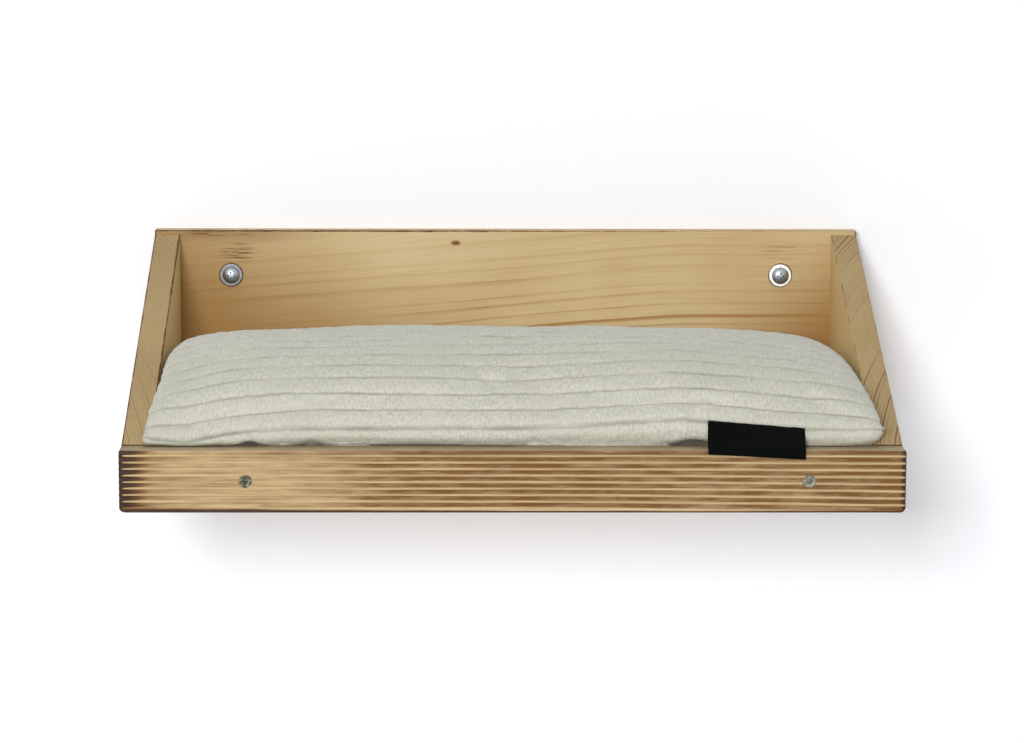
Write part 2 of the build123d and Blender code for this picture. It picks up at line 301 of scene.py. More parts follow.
def scorch_amount(node, distances, position):
    """How burnt the wood is, from 0 to 1, from its distances to the edges that the flame ran along."""
    scale = 1 / scorch_noise_size
    blotch = node("TexNoise", {"Vector": position, "Scale": scale, "Detail": 4, "Roughness": 0.65})
    nearest = None
    for distance, reach_share in distances:
        scaled = node("Math MULTIPLY", [distance, 1 / (wood_sizes().scorch_reach * reach_share)])
        nearest = node("Math MINIMUM", [nearest, scaled]) if nearest else scaled
    lifted = node("Math MULTIPLY_ADD", [blotch, -scorch_raggedness, scorch_raggedness / 2])
    nearest = node("Math ADD", [nearest, lifted])
    return node("MapRange SMOOTHSTEP", [nearest, 0, 1, 1, 0])


def finish_wood(node, wood, line, fibres, roughness, bump_strength):
    """Give wood its shader, rough along the fibres and raised along the figure."""
    rough = node("MapRange", [fibres, *middle_show, *roughness])
    relief = node("Math ADD", [line, fibres])
    bump = node("Bump", {"Strength": bump_strength, "Distance": grain_bump_height, "Height": relief})
    finish_material(node, {"Base Color": wood, "Roughness": rough, "Normal": bump, **wood_gloss})


def spruce_material(name, axes, heart, ring_width, calm_share, char_share, pale, dark, edges,
                    worn=None, raised=None, painted_light=None, marks=None, mirrored=False):
    """Spruce with its grain along the first of three axes, burnt at the edges that the caller gives."""
    sizes = wood_sizes()
    palette = colours()
    material, node = new_material(name)
    position = node("TexCoord", output="Object")
    place = node("SeparateXYZ", [position]).node.outputs
    along, through, across = (place[axis] for axis in axes)
    if mirrored:
        through = node("Math ABSOLUTE", [through])
    if raised:
        across = raised(node, along, across)
    line = wood_figure(node, along, through, across, heart, ring_width)
    if worn:
        line = node("Math MULTIPLY", [line, worn(node, *place)])
    fibres = wood_fibres(node, along, through, across, sizes.fibre_length, sizes.fibre_width)
    specks = wood_fibres(node, along, through, across, speck_length, speck_width)
    tone = node("TexNoise", {"Vector": position, "Scale": 1 / tone_reach, "Detail": 2})
    fibre_shade = node("MapRange", [fibres, *fibre_show, 0, fibre_darkness * calm_share])
    speck_shade = node("MapRange", [specks, *speck_show, 0, speck_darkness * calm_share])
    tone_shade = node("MapRange", [tone, *middle_show, 0, tone_darkness])
    darkness = node("Math MAXIMUM", [line, fibre_shade])
    darkness = node("Math MAXIMUM", [darkness, speck_shade])
    darkness = node("Math ADD", [darkness, tone_shade], use_clamp=True)
    burnt = scorch_amount(node, edges(node, *place), position)
    if marks:
        burnt = node("Math MAXIMUM", [burnt, marks(node, *place)])
    browned = node("MapRange SMOOTHSTEP", [burnt, *brown_show, 0, 1])
    charred = node("MapRange SMOOTHSTEP", [burnt, *char_show, 0, char_share])
    coats = [(darkness, dark)]
    # An optional coat of painted light that the caller gives: painted shade or painted bounce light over the
    # wood's own colours
    if painted_light:
        share, tint = painted_light
        coats.append((share(node, *place), tint))
    wood = pale
    for share, coat in (*coats, (browned, palette.scorch_brown), (charred, palette.scorch_black)):
        wood = node("Mix RGBA", [share, wood, coat])
    finish_wood(node, wood, line, fibres, spruce_roughness, spruce_bump_strength)
    return material


# The figure of the back board's wood climbs gently to the right and levels out near the right end

climb_share = 0.088
climb_end_x = 0.11
climb_end_reach = 0.06


def climbing_grain(node, along, across):
    """Height above the line that the back board's figure follows."""
    climbed = node("Math SMOOTH_MIN", [along, climb_end_x, climb_end_reach])
    return node("Math MULTIPLY_ADD", [climbed, -climb_share, across])


# The back board is painted darker and redder towards its lower corners, most at the left, as painted shade
# with warm bounce light next to the sides, and its figure shows most behind the cushion's crest

left_shade_range = (-0.285, -0.03, 1, 0)
left_shade_slant_share = 1.7
right_shade_range = (0.17, 0.29, 0, 1)
right_shade_slant_share = 1.3
shade_skin = 0.004
figure_top_z = 0.005
figure_low_z = -0.02
figure_faint_share = 0.3


def back_board_painted_shade(node, x, y, z):
    """How strongly the back board is painted darker and redder as painted shade with warm bounce light, on
    its front face alone.
    """
    on_front = node("MapRange", [y, back_low.y, back_low.y + shade_skin, 1, 0])
    left = node("Math MULTIPLY_ADD", [z, left_shade_slant_share, x])
    left = node("MapRange SMOOTHSTEP", [left, *left_shade_range])
    right = node("Math MULTIPLY_ADD", [z, -right_shade_slant_share, x])
    right = node("MapRange SMOOTHSTEP", [right, *right_shade_range])
    return node("Math MULTIPLY", [node("Math MAXIMUM", [left, right]), on_front])


def back_board_wear(node, x, y, z):
    """How strongly the back board's figure shows."""
    return node("MapRange SMOOTHSTEP", [z, figure_low_z, figure_top_z, 1, figure_faint_share])


# Where the flame ran along each board: outputs that give the distance to an edge, and its reach

top_reach_share = 0.16
end_reach_share = 0.35
slope_edge_reach_share = 0.22
top_face_share = 0.12
top_burn_end_x = -0.05
top_burn_reach = 0.0009
end_face_share = 0.06
washer_ring_share = 0.16


def back_board_edges(node, x, y, z):
    """The back board is burnt along its top edge, at its ends and thinly round the wall screws."""
    below_top = node("Math SUBTRACT", [back_high.z, z])
    behind_face = node("Math SUBTRACT", [y, back_low.y])
    from_top = node("Math MULTIPLY_ADD", [behind_face, top_face_share, below_top])
    spared = node("MapRange", [x, top_burn_end_x, back_high.x, 0, top_burn_reach])
    from_top = node("Math ADD", [from_top, spared])
    width = node("Math ABSOLUTE", [x])
    from_end = node("Math SUBTRACT", [back_high.x, width])
    from_end = node("Math MULTIPLY_ADD", [behind_face, end_face_share, from_end])
    from_screw = node("CombineXYZ", [width, behind_face, z])
    from_screw = node("VectorMath DISTANCE", [from_screw, (washer_middle.x, 0, washer_middle.z)])
    from_rim = node("Math SUBTRACT", [from_screw, (washer_high.x - washer_low.x) / 2])
    return (from_top, top_reach_share), (from_end, slope_edge_reach_share), (from_rim, washer_ring_share)


# Brown marks on the back board: streaks by the screws, streaks and a glow at the upper left, a knot

streak_length = 0.03
streak_width = 0.0011
streak_range = (0.44, 0.66, 0, 1)
screw_streak_rise = 0.016
screw_streak_half_size = (0.024, 0.013)
left_screw_streak_strength = 0.66
right_screw_streak_strength = 0.4
corner_streak_x = -0.2
corner_streak_half_size = (0.045, 0.008)
corner_streak_strength = 0.7
knot_x = -0.036
knot_drop = 0.0085
knot_half_size = (0.0055, 0.0028)
knot_strength = 0.6
corner_glow_half_size = (0.1, 0.014)
corner_glow_strength = 0.27
mark_fade_range = (0.2, 1, 1, 0)


def mark(node, x, z, place, half_size, strength):
    """Strength of a mark at its place on a board, falling to 0 at the rim of an oval round it."""
    from_place = node("CombineXYZ", [x, z, 0])
    from_place = node("VectorMath SUBTRACT", [from_place, (*place, 0)])
    from_place = node("VectorMath MULTIPLY", [from_place, (1 / half_size[0], 1 / half_size[1], 0)])
    near = node("MapRange SMOOTHSTEP", [node("VectorMath LENGTH", [from_place]), *mark_fade_range])
    return node("Math MULTIPLY", [near, strength])


def back_board_marks(node, x, y, z):
    """Brown streaks by the screws and in the upper left corner, and one small knot."""
    streaks = wood_fibres(node, x, y, z, streak_length, streak_width)
    streaks = node("MapRange SMOOTHSTEP", [streaks, *streak_range])
    corner = (corner_streak_x, back_high.z)
    left, right, upper_left = (mark(node, x, z, *streak) for streak in (
        ((-washer_middle.x, screw_streak_rise), screw_streak_half_size, left_screw_streak_strength),
        ((washer_middle.x, screw_streak_rise), screw_streak_half_size, right_screw_streak_strength),
        (corner, corner_streak_half_size, corner_streak_strength),
    ))
    marks = node("Math MAXIMUM", [node("Math MAXIMUM", [left, right]), upper_left])
    marks = node("Math MULTIPLY", [marks, streaks])
    glow = mark(node, x, z, corner, corner_glow_half_size, corner_glow_strength)
    marks = node("Math MAXIMUM", [marks, glow])
    on_face = node("Math LESS_THAN", [y, back_low.y + grain_bump_height])
    marks = node("Math MULTIPLY", [marks, on_face])
    knot = mark(node, x, z, (knot_x, back_high.z - knot_drop), knot_half_size, knot_strength)
    return node("Math MAXIMUM", [marks, knot])


right_edge_spared = 0.0007


def side_board_edges(node, x, y, z):
    """The sides are burnt along both edges of their sloping tops, and at the top's two ends."""
    width = node("Math ABSOLUTE", [x])
    from_outside = node("Math SUBTRACT", [side_high.x, width])
    from_inside = node("Math SUBTRACT", [width, side_low.x])
    from_side = node("Math MINIMUM", [from_outside, from_inside])
    from_edge = node("Math MAXIMUM", [from_side, height_below_slope(node, y, z)])
    spared = node("MapRange", [x, 0, side_high.x, 0, right_edge_spared])
    from_edge = node("Math ADD", [from_edge, spared])
    from_front = node("Math SUBTRACT", [y, side_low.y])
    return (from_edge, slope_edge_reach_share), (from_front, end_reach_share)


def floor_board_edges(node, x, y, z):
    """The floor board is cut to length and hardly burnt, at its ends alone."""
    from_end = node("Math SUBTRACT", [floor_high.x, node("Math ABSOLUTE", [x])])
    return ((from_end, slope_edge_reach_share),)


# The sides' figure shows most near both ends of the right one's sloping top, and hardly between them

worn_middle_strength = 0.3
worn_left_share = 0.45
worn_rear_reach = 0.05
worn_front_start = 0.07
worn_front_end = 0.12
# How far below the sloping tops the painted bounce light starts, and how strongly it shows
bounce_light_below = 0.0012
bounce_light_share = 0.72


def side_board_wear(node, x, y, z):
    """How strongly the sides' figure shows along their depth."""
    rear = node("MapRange", [y, side_high.y - worn_rear_reach, side_high.y, worn_middle_strength, 1])
    front_start, front_end = side_low.y + worn_front_start, side_low.y + worn_front_end
    front = node("MapRange", [y, front_start, front_end, 1, worn_middle_strength])
    share = node("MapRange", [x, -side_low.x, side_low.x, worn_left_share, 1])
    return node("Math MULTIPLY", [node("Math MAXIMUM", [rear, front]), share])


def height_below_slope(node, y, z):
    """Distance below the sides' sloping tops."""
    run = side_high.y - side_low.y
    rise = side_high.z - rail_high.z
    slope_height = node("MapRange", [y, side_low.y, side_high.y, rail_high.z, side_high.z])
    below_slope = node("Math SUBTRACT", [slope_height, z])
    return node("Math MULTIPLY", [below_slope, run / math.hypot(run, rise)])


def side_board_bounce_light(node, x, y, z):
    """How strongly the sides' faces are painted paler as painted bounce light, and 0 on their sloping tops.
    """
    return node("MapRange", [height_below_slope(node, y, z), 0, bounce_light_below, 0, bounce_light_share])


# Zinc plating on steel: a bluish grey metal, cloudy and a little dull

zinc_cloud_size = 0.0022
zinc_grain_size = 0.0003
zinc_bump_height = 0.00004
zinc_bump_strength = 0.3
zinc_cloud_share = 0.72


def zinc_plated_steel(name, zinc, roughness):
    """Make the plated steel of the screws, or of a washer painted darker as painted shade or brighter as a
    painted reflection.
    """
    material, node = new_material(name)
    position = node("TexCoord", output="Object")
    clouds = node("TexNoise", {"Vector": position, "Scale": 1 / zinc_cloud_size, "Detail": 3})
    grain = node("TexNoise", {"Vector": position, "Scale": 1 / zinc_grain_size})
    colour = node("Mix RGBA", [clouds, zinc, shaded(zinc, zinc_cloud_share)])
    rough = node("MapRange", [clouds, *middle_show, *roughness])
    bump = node("Bump", {"Strength": zinc_bump_strength, "Distance": zinc_bump_height, "Height": grain})
    finish_material(node, {"Base Color": colour, "Metallic": 1.0, "Roughness": rough, "Normal": bump})
    return material


def shaded(colour, share):
    """A colour made darker or lighter by a share."""
    return (*(channel * share for channel in colour[:3]), 1.0)


# Zinc plating that the flame has dulled and stained: brownish grey and blotched, and painted darker to the
# left as painted shade

stain_range = (0.35, 0.62, 0, 0.7)
left_screw_shade = 0.5
stained_roughness = (0.42, 0.62)
stain_bump_strength = 0.4


def dulled_steel():
    """Make the plated steel of the rail screws."""
    palette = colours()
    material, node = new_material("dulled_zinc_plated_steel")
    position = node("TexCoord", output="Object")
    stains = node("TexNoise", {"Vector": position, "Scale": 1 / zinc_cloud_size, "Detail": 4})
    stains = node("MapRange", [stains, *stain_range])
    x = node("SeparateXYZ", [position])
    # Painted shade: the plating darkens towards the left screw
    screw_shade = node("MapRange", [x, -rail_high.x, rail_high.x, left_screw_shade, 0])
    stains = node("Math ADD", [stains, screw_shade], use_clamp=True)
    colour = node("Mix RGBA", [stains, palette.stained_zinc, palette.stain_and_shade_zinc])
    rough = node("MapRange", [stains, 0, 1, *stained_roughness])
    bump = node("Bump", {"Strength": stain_bump_strength, "Distance": zinc_bump_height, "Height": stains})
    finish_material(node, {"Base Color": colour, "Metallic": 1.0, "Roughness": rough, "Normal": bump})
    return material


# Rib plush: short looped polyester pile, matt, cream, darker where one looks down between the tufts

pile_bump_height = 0.001
pile_bump_strength = 0.7
pile_lean_share = 0.28
pile_range = (0.25, 0.75, 0.15, 1)
tuft_size = 0.0023
tuft_strength = 1.2
fluffed_range = (0.42, 0.6, 0.25, 1)
shade_patch_size = 0.05
patch_shade = 0.08
# How the painted shade in the grooves fades in patches, and where the painted crevice shadow starts
groove_show = (0.35, 0.6)
groove_darkness = 0.95
groove_faint_share = 0.2
groove_shade_patch_scale = (22, 75, 1)
crevice_shade_range = (2.1, 2.9, 0, 0.85)
plush_sheen = {"Roughness": 0.95, "Specular IOR Level": 0.2, "Sheen Weight": 0.2, "Sheen Roughness": 0.5}


def rib_plush():
    """Make the plush of the cushion, whose pile follows the cushion's own map of its surface."""
    palette = colours()
    material, node = new_material("cream_rib_plush")
    surface = node("UVMap", uv_map="cloth")
    position = node("TexCoord", output="Object")
    strands = 1 / cushion_sizes().pile_size
    upright = node("VectorMath MULTIPLY", [surface, (strands, pile_lean_share * strands, 1)])
    hatch = node("TexNoise", {"Vector": upright, "Scale": 1, "Detail": 3})
    tufts = node("TexNoise", {"Vector": surface, **fibre_noise, "Scale": 1 / tuft_size})
    patches = node("TexNoise", {"Vector": position, "Scale": 1 / shade_patch_size, "Detail": 2})
    fluffed = node("MapRange", [patches, *fluffed_range])
    tufts = node("Math MULTIPLY", [node("Math SUBTRACT", [tufts, 0.5]), fluffed])
    height = node("Math MULTIPLY_ADD", [tufts, tuft_strength, hatch])
    pale = node("MapRange", [height, *pile_range])
    worn = node("MapRange", [patches, *middle_show, -patch_shade, patch_shade])
    pale = node("Math ADD", [pale, worn], use_clamp=True)
    # Painted shade: the groove attribute darkens the plush in the grooves, along the seam and, as a painted
    # shadow, where the cushion lies on the rail
    depth = node("Attribute", output="Fac", attribute_name="groove")
    closed = node("VectorMath MULTIPLY", [surface, groove_shade_patch_scale])
    closed = node("TexNoise", {"Vector": closed, "Scale": 1, "Detail": 2})
    closed = node("MapRange", [closed, *groove_show, groove_faint_share, groove_darkness])
    groove = node("Math MULTIPLY", [depth, closed])
    crevice_shade = node("MapRange", [depth, *crevice_shade_range])
    colour = palette.plush_shade
    for share, coat in (pale, palette.plush), (groove, palette.groove_shade), (crevice_shade, palette.crevice_shade):
        colour = node("Mix RGBA", [share, colour, coat])
    bump = node("Bump", {"Strength": pile_bump_strength, "Distance": pile_bump_height, "Height": height})
    finish_material(node, {"Base Color": colour, "Normal": bump, **plush_sheen})
    return material


# Satin label tape: black polyester yarn, closely woven, with a faint silky sheen across it

yarn_pitch = 0.0006
yarn_bump_height = 0.00008
yarn_bump_strength = 0.5
weft_share = 0.5
lit_yarn_share = 1.8
# Roughest down between the yarns, smoothest on their crests
yarn_roughness = (0.62, 0.5)
yarn_gloss = 0.03


def label_tape():
    """Make the black woven tape of the label."""
    palette = colours()
    material, node = new_material("black_satin_tape")
    place = node("SeparateXYZ", [node("UVMap", uv_map="cloth")]).node.outputs
    warp, weft = (
        node("Math SINE", [node("Math MULTIPLY", [place[axis], math.tau / yarn_pitch])]) for axis in "XY"
    )
    weave = node("Math MULTIPLY_ADD", [weft, weft_share, warp])
    lowest_and_highest = (-1 - weft_share, 1 + weft_share)
    lit = node("MapRange", [weave, *lowest_and_highest, 0, 1])
    colour = node("Mix RGBA", [lit, palette.label, shaded(palette.label, lit_yarn_share)])
    rough = node("MapRange", [weave, *lowest_and_highest, *yarn_roughness])
    bump = node("Bump", {"Strength": yarn_bump_strength, "Distance": yarn_bump_height, "Height": weave})
    finish_material(
        node, {"Base Color": colour, "Roughness": rough, "Normal": bump, "Specular IOR Level": yarn_gloss},
    )
    return material


# Cushion: two plush panels sewn along their edges, stuffed, and pressed into the tray

seam_height = 0.0225
seam_z = under_low.z + seam_height
half_length = cover_high.x
front_seam_y = -0.2834
corner_seam_y = cover_low.y
rear_seam_gap = 0.003
rear_seam_y = cover_high.y - rear_seam_gap
seam_to_seam = rear_seam_y - front_seam_y
end_draw_in = 0.0025
rear_draw_in = 0.003
draw_in_power = 6
left_ear = 0.0045
left_ear_reach = 0.05
right_ear = 0.0055
right_ear_reach = 0.055
ear_power = 10
lower_bulge = 0.0028
shared_end_power = 60
crown_roundness = 1.6
rear_roundness = 1.65
left_end_roundness = 6.2
right_end_roundness = 4.6
underside_round = 0.009
underside_end_roundness = 4
start_shrinkage = 0.004
cloth_cell = 0.0055
stuffing_pressure = 4.0
cloth_frames = 20
crease_smoothings = 60
crease_reach = 0.0022
crease_fade_cells = 2
curve_points = 4001
mesh_column = 0.0025
merge_distance = 1e-7
rows_in_a_rib = (0.0, 0.035, 0.08, 0.14, 0.24, 0.42, 0.58, 0.76, 0.86, 0.92, 0.965)
contact_gap = 0.0003
# Reach and strength of the painted shade where the cushion lies on the rail, and how far behind the rail's
# edge it reaches
contact_shade_reach = 0.0016
contact_shade_strength = 3.0
crevice_shade_depth_share = 2
# Where the cushion's lower edge stands up off the rail: distance right of the middle, reach and height
rail_lifts = (
    (-0.168, 0.006, 0.0028), (-0.128, 0.008, 0.0019), (-0.07, 0.04, 0.0007), (0.116, 0.013, 0.004),
)
# Height of the front seam above its mean level, against distance to the right of the middle
seam_wave_x = (-0.236, -0.209, -0.177, -0.145, -0.105, 0.0, 0.05, 0.105, 0.135, 0.19, 0.236)
seam_wave_z = (-0.0055, -0.0092, -0.003, 0.0, 0.0003, 0.0, 0.0025, 0.0058, 0.0034, -0.0006, 0.0)
seam_wave_power = 3


def rounded(share, power):
    """Height of a rounded profile, from 1 in its middle to 0 at its end."""
    return (1 - numpy.clip(numpy.abs(share), 0, 1) ** power) ** (1 / power)


def bell(distance, reach):
    """1 at no distance, fading over a reach."""
    return numpy.exp(-((distance / reach) ** 2))


def fine_parameter():
    """Parameter from 0 to 1, with more steps near its two ends."""
    return (1 - numpy.cos(numpy.linspace(0, math.pi, curve_points))) / 2


def length_curve():
    """The cushion's crest from its left end to its right end."""
    share = 2 * fine_parameter() - 1
    return half_length * share, cushion_sizes().crest_rise * rounded(share, right_end_roundness)


def crown_height(depth):
    """Height of the crown, as a share of its rise, at a distance behind the front seam."""
    run = cushion_sizes().crest_run
    ahead = rounded((run - numpy.minimum(depth, run)) / run, crown_roundness)
    behind = rounded((numpy.maximum(depth, run) - run) / (seam_to_seam - run), rear_roundness)
    return numpy.where(depth < run, ahead, behind)


def depth_curve():
    """The cushion's profile from its front seam to its rear seam."""
    depth = seam_to_seam * fine_parameter()
    return depth, cushion_sizes().crest_rise * crown_height(depth)


def run_along(across, up):
    """Distance along a curve at each of its points."""
    steps = numpy.hypot(numpy.diff(across), numpy.diff(up))
    return numpy.concatenate(([0.0], numpy.cumsum(steps)))


def share_to_parameter(curve, shares):
    """A curve's parameter at shares of its length."""
    run = run_along(*curve)
    return numpy.interp(shares * run[-1], run, fine_parameter())


def underside_place(row_share):
    """The lower panel's own course: distance behind the front seam, and drop below it."""
    wall = seam_height - underside_round
    bend = math.pi / 2 * underside_round
    flat = seam_to_seam - 2 * underside_round
    whole = 2 * wall + 2 * bend + flat
    run = row_share * whole
    mirrored = run > whole / 2
    run = numpy.where(mirrored, whole - run, run)
    angle = numpy.clip((run - wall) / underside_round, 0, math.pi / 2)
    back = underside_round * (1 - numpy.cos(angle)) + numpy.maximum(0, run - wall - bend)
    drop = numpy.minimum(run, wall) + underside_round * numpy.sin(angle)
    return numpy.where(mirrored, seam_to_seam - back, back), drop


def formed_point(column_share, row_share, panel, shrink):
    """Where a point of a panel lies, from its shares of the panel's length and depth."""
    along = 2 * share_to_parameter(length_curve(), column_share) - 1
    above = share_to_parameter(depth_curve(), row_share)
    below, drop = underside_place(row_share)
    below = below / seam_to_seam
    back = numpy.where(panel > 0, above, below + (above - below) * numpy.abs(along) ** shared_end_power)
    corner = numpy.abs(along) ** draw_in_power
    front = front_seam_y + (corner_seam_y - front_seam_y) * corner
    rear = rear_seam_y - rear_draw_in * (1 - corner)
    depth = seam_to_seam * back
    at_left = along < 0
    ear_share = bell(depth, numpy.where(at_left, left_ear_reach, right_ear_reach)) * abs(along) ** ear_power
    ear = numpy.where(at_left, left_ear, right_ear) * ear_share
    end = half_length - end_draw_in * (1 - numpy.abs(2 * back - 1) ** draw_in_power) + ear
    x = along * (end - shrink)
    y = front + shrink + (rear - front - 2 * shrink) * back
    seam = seam_z + numpy.interp(x, seam_wave_x, seam_wave_z) * (1 - back) ** seam_wave_power
    ends = numpy.where(at_left, left_end_roundness, right_end_roundness)
    over = (cushion_sizes().crest_rise - shrink) * rounded(along, ends) * crown_height(depth)
    under = drop * (1 - shrink / seam_height) * rounded(along, underside_end_roundness)
    z = seam + numpy.where(panel > 0, over, -under)
    below_seam = numpy.clip((seam - z) / (seam - rail_high.z), 0, 1)
    bulge = lower_bulge * numpy.sin(math.pi * below_seam) * (back < 0.5)
    return numpy.stack((x, y - bulge, z), axis=-1)


def rail_lift(x):
    """How far the cushion's lower edge stands up off the rail."""
    return sum(height * bell(x - place, reach) for place, reach, height in rail_lifts)


def keep_clear(points):
    """Hold points off the floor board, the rail, the sides and the back board."""
    x, y, z = points[..., 0], points[..., 1], points[..., 2]
    rail_z = rail_high.z + rail_lift(x)
    z = numpy.maximum(z, numpy.where(y < rail_high.y + contact_gap, rail_z, floor_high.z) + contact_gap)
    inside = side_low.x - contact_gap
    side_z = numpy.interp(y, (side_low.y, side_high.y), (rail_high.z, side_high.z))
    x = numpy.where(z < side_z + contact_gap, numpy.clip(x, -inside, inside), x)
    return numpy.stack((x, numpy.minimum(y, cover_high.y), z), axis=-1)


def mesh_of(shape, name):
    """Turn a bmesh into a mesh, and free it."""
    mesh = bpy.data.meshes.new(name)
    shape.to_mesh(mesh)
    shape.free()
    return mesh


def two_panels(name, columns, rows, place):
    """Closed mesh of two grids sewn along their edges, each vertex with its grid place and panel."""
    shape = bmesh.new()
    grid_place = shape.verts.layers.float_vector.new("grid_place")
    for panel in (1, -1):
        made = bmesh.ops.create_grid(shape, x_segments=len(columns) - 1, y_segments=len(rows) - 1, size=1)
        verts = made["verts"]
        column = [round((vert.co.x + 1) / 2 * (len(columns) - 1)) for vert in verts]
        row = [round((vert.co.y + 1) / 2 * (len(rows) - 1)) for vert in verts]
        places = place(numpy.array(column), numpy.array(row), panel)
        for vert, i, j, point in zip(verts, column, row, places):
            vert[grid_place] = (i, j, panel)
            vert.co = point
        if panel < 0:
            faces = {face for vert in verts for face in vert.link_faces}
            bmesh.ops.reverse_faces(shape, faces=list(faces))
    bmesh.ops.remove_doubles(shape, verts=shape.verts, dist=merge_distance)
    return mesh_of(shape, name)


def rows_of_three(source, attribute):
    """The vectors of a mesh's vertices, or of one of its attributes, as rows of three."""
    values = numpy.empty(len(source) * 3)
    source.foreach_get(attribute, values)
    return values.reshape(-1, 3)


def stuffing_moves(columns, rows):
    """How far Cloth blows each grid point of the sewn cover out, for both panels."""
    column_shares = numpy.linspace(0, 1, columns + 1)
    row_shares = numpy.linspace(0, 1, rows + 1)

    def start(i, j, panel):
        return keep_clear(formed_point(column_shares[i], row_shares[j], panel, start_shrinkage))

    mesh = two_panels("cushion_cover_start", column_shares, row_shares, start)
    start_points = rows_of_three(mesh.vertices, "co")
    places = rows_of_three(mesh.attributes["grid_place"].data, "vector").round().astype(int)
    piece = bpy.data.objects.new("cushion_cover_start", mesh)
    scene = bpy.context.scene
    scene.collection.objects.link(piece)
    cloth = piece.modifiers.new("stuffing", "CLOTH")
    cloth.settings.use_pressure = True
    cloth.settings.uniform_pressure_force = stuffing_pressure
    cloth.settings.effector_weights.gravity = 0
    cloth.point_cache.frame_start = 1
    cloth.point_cache.frame_end = cloth_frames
    for number in range(1, cloth_frames + 1):
        scene.frame_set(number)
    blown = piece.evaluated_get(bpy.context.evaluated_depsgraph_get())
    moved = rows_of_three(blown.to_mesh().vertices, "co") - start_points
    blown.to_mesh_clear()
    scene.frame_set(1)
    bpy.data.objects.remove(piece)
    bpy.data.meshes.remove(mesh)
    on_edge = (places[:, 0] % columns == 0) | (places[:, 1] % rows == 0)
    moves = {}
    for panel in (1, -1):
        own = (places[:, 2] == panel) | on_edge
        grid = numpy.empty((columns + 1, rows + 1, 3))
        grid[places[own, 0], places[own, 1]] = moved[own]
        moves[panel] = creases(grid)
    return moves


def creases(grid):
    """What is left of a grid of moves without its broad swell, fading out at the grid's edges."""
    broad = grid
    for smoothing in range(crease_smoothings):
        padded = numpy.pad(broad, ((1, 1), (1, 1), (0, 0)), mode="edge")
        broad = (padded[:-2, 1:-1] + padded[2:, 1:-1] + padded[1:-1, :-2] + padded[1:-1, 2:]) / 4
    fine = grid - broad
    reach = numpy.linalg.norm(fine, axis=2, keepdims=True)
    fine = fine * crease_reach / numpy.maximum(reach, crease_reach)
    counts = [numpy.arange(count) for count in grid.shape[:2]]
    from_ends = [numpy.minimum(count, count[::-1]) for count in counts]
    from_edge = numpy.minimum.outer(*from_ends)
    return fine * numpy.clip(from_edge / crease_fade_cells, 0, 1)[:, :, None]


def between(grid, column_shares, row_shares):
    """Values between the points of a grid, at shares of its length and depth."""
    columns, rows = grid.shape[0] - 1, grid.shape[1] - 1
    i = column_shares * columns
    j = row_shares * rows
    low_i = numpy.minimum(i.astype(int), columns - 1)
    low_j = numpy.minimum(j.astype(int), rows - 1)
    i = (i - low_i)[:, None]
    j = (j - low_j)[:, None]
    near = grid[low_i, low_j] * (1 - i) + grid[low_i + 1, low_j] * i
    far = grid[low_i, low_j + 1] * (1 - i) + grid[low_i + 1, low_j + 1] * i
    return near * (1 - j) + far * j


line_wander = 0.0016
wander_reach = 0.07
wander_depth_share = 0.6
wander_seed = 3
swell_height = 0.0016
swell_reach = 0.075
swell_seed = 11
lump_height = 0.0007
lump_reach = 0.0065
lump_seed = 17
# The small lumps' size and height, as a share of the others'
small_lump_share = 0.5
small_lump_seed = 23
seam_draw = 0.0011
seam_draw_reach = 0.0013
pucker_height = 0.0009
pucker_reach = 0.006
pucker_length_share = 0.12
pucker_fade = 0.011
pucker_seed = 29
rib_crown = 0.0005
crest_groove_share = 0.9


def noise_at(points, reach, seed_offset):
    """Smooth noise from -1 to 1 at each point, with features of the given size."""
    offset = Vector((seed_offset, seed_offset * 2, seed_offset * 3))
    return numpy.array([noise.noise(Vector(point) / reach + offset) for point in points])


def rib_rows(length):
    """Shares of a panel's depth at which the mesh has rows: close together in each groove."""
    pitch = cushion_sizes().rib_pitch
    count = math.ceil(length / pitch)
    places = [(rib + share) * pitch / length for rib in range(count) for share in rows_in_a_rib]
    kept = [share for share in places if share < 1 - rows_in_a_rib[1] * pitch / length]
    return numpy.array(kept + [1.0])


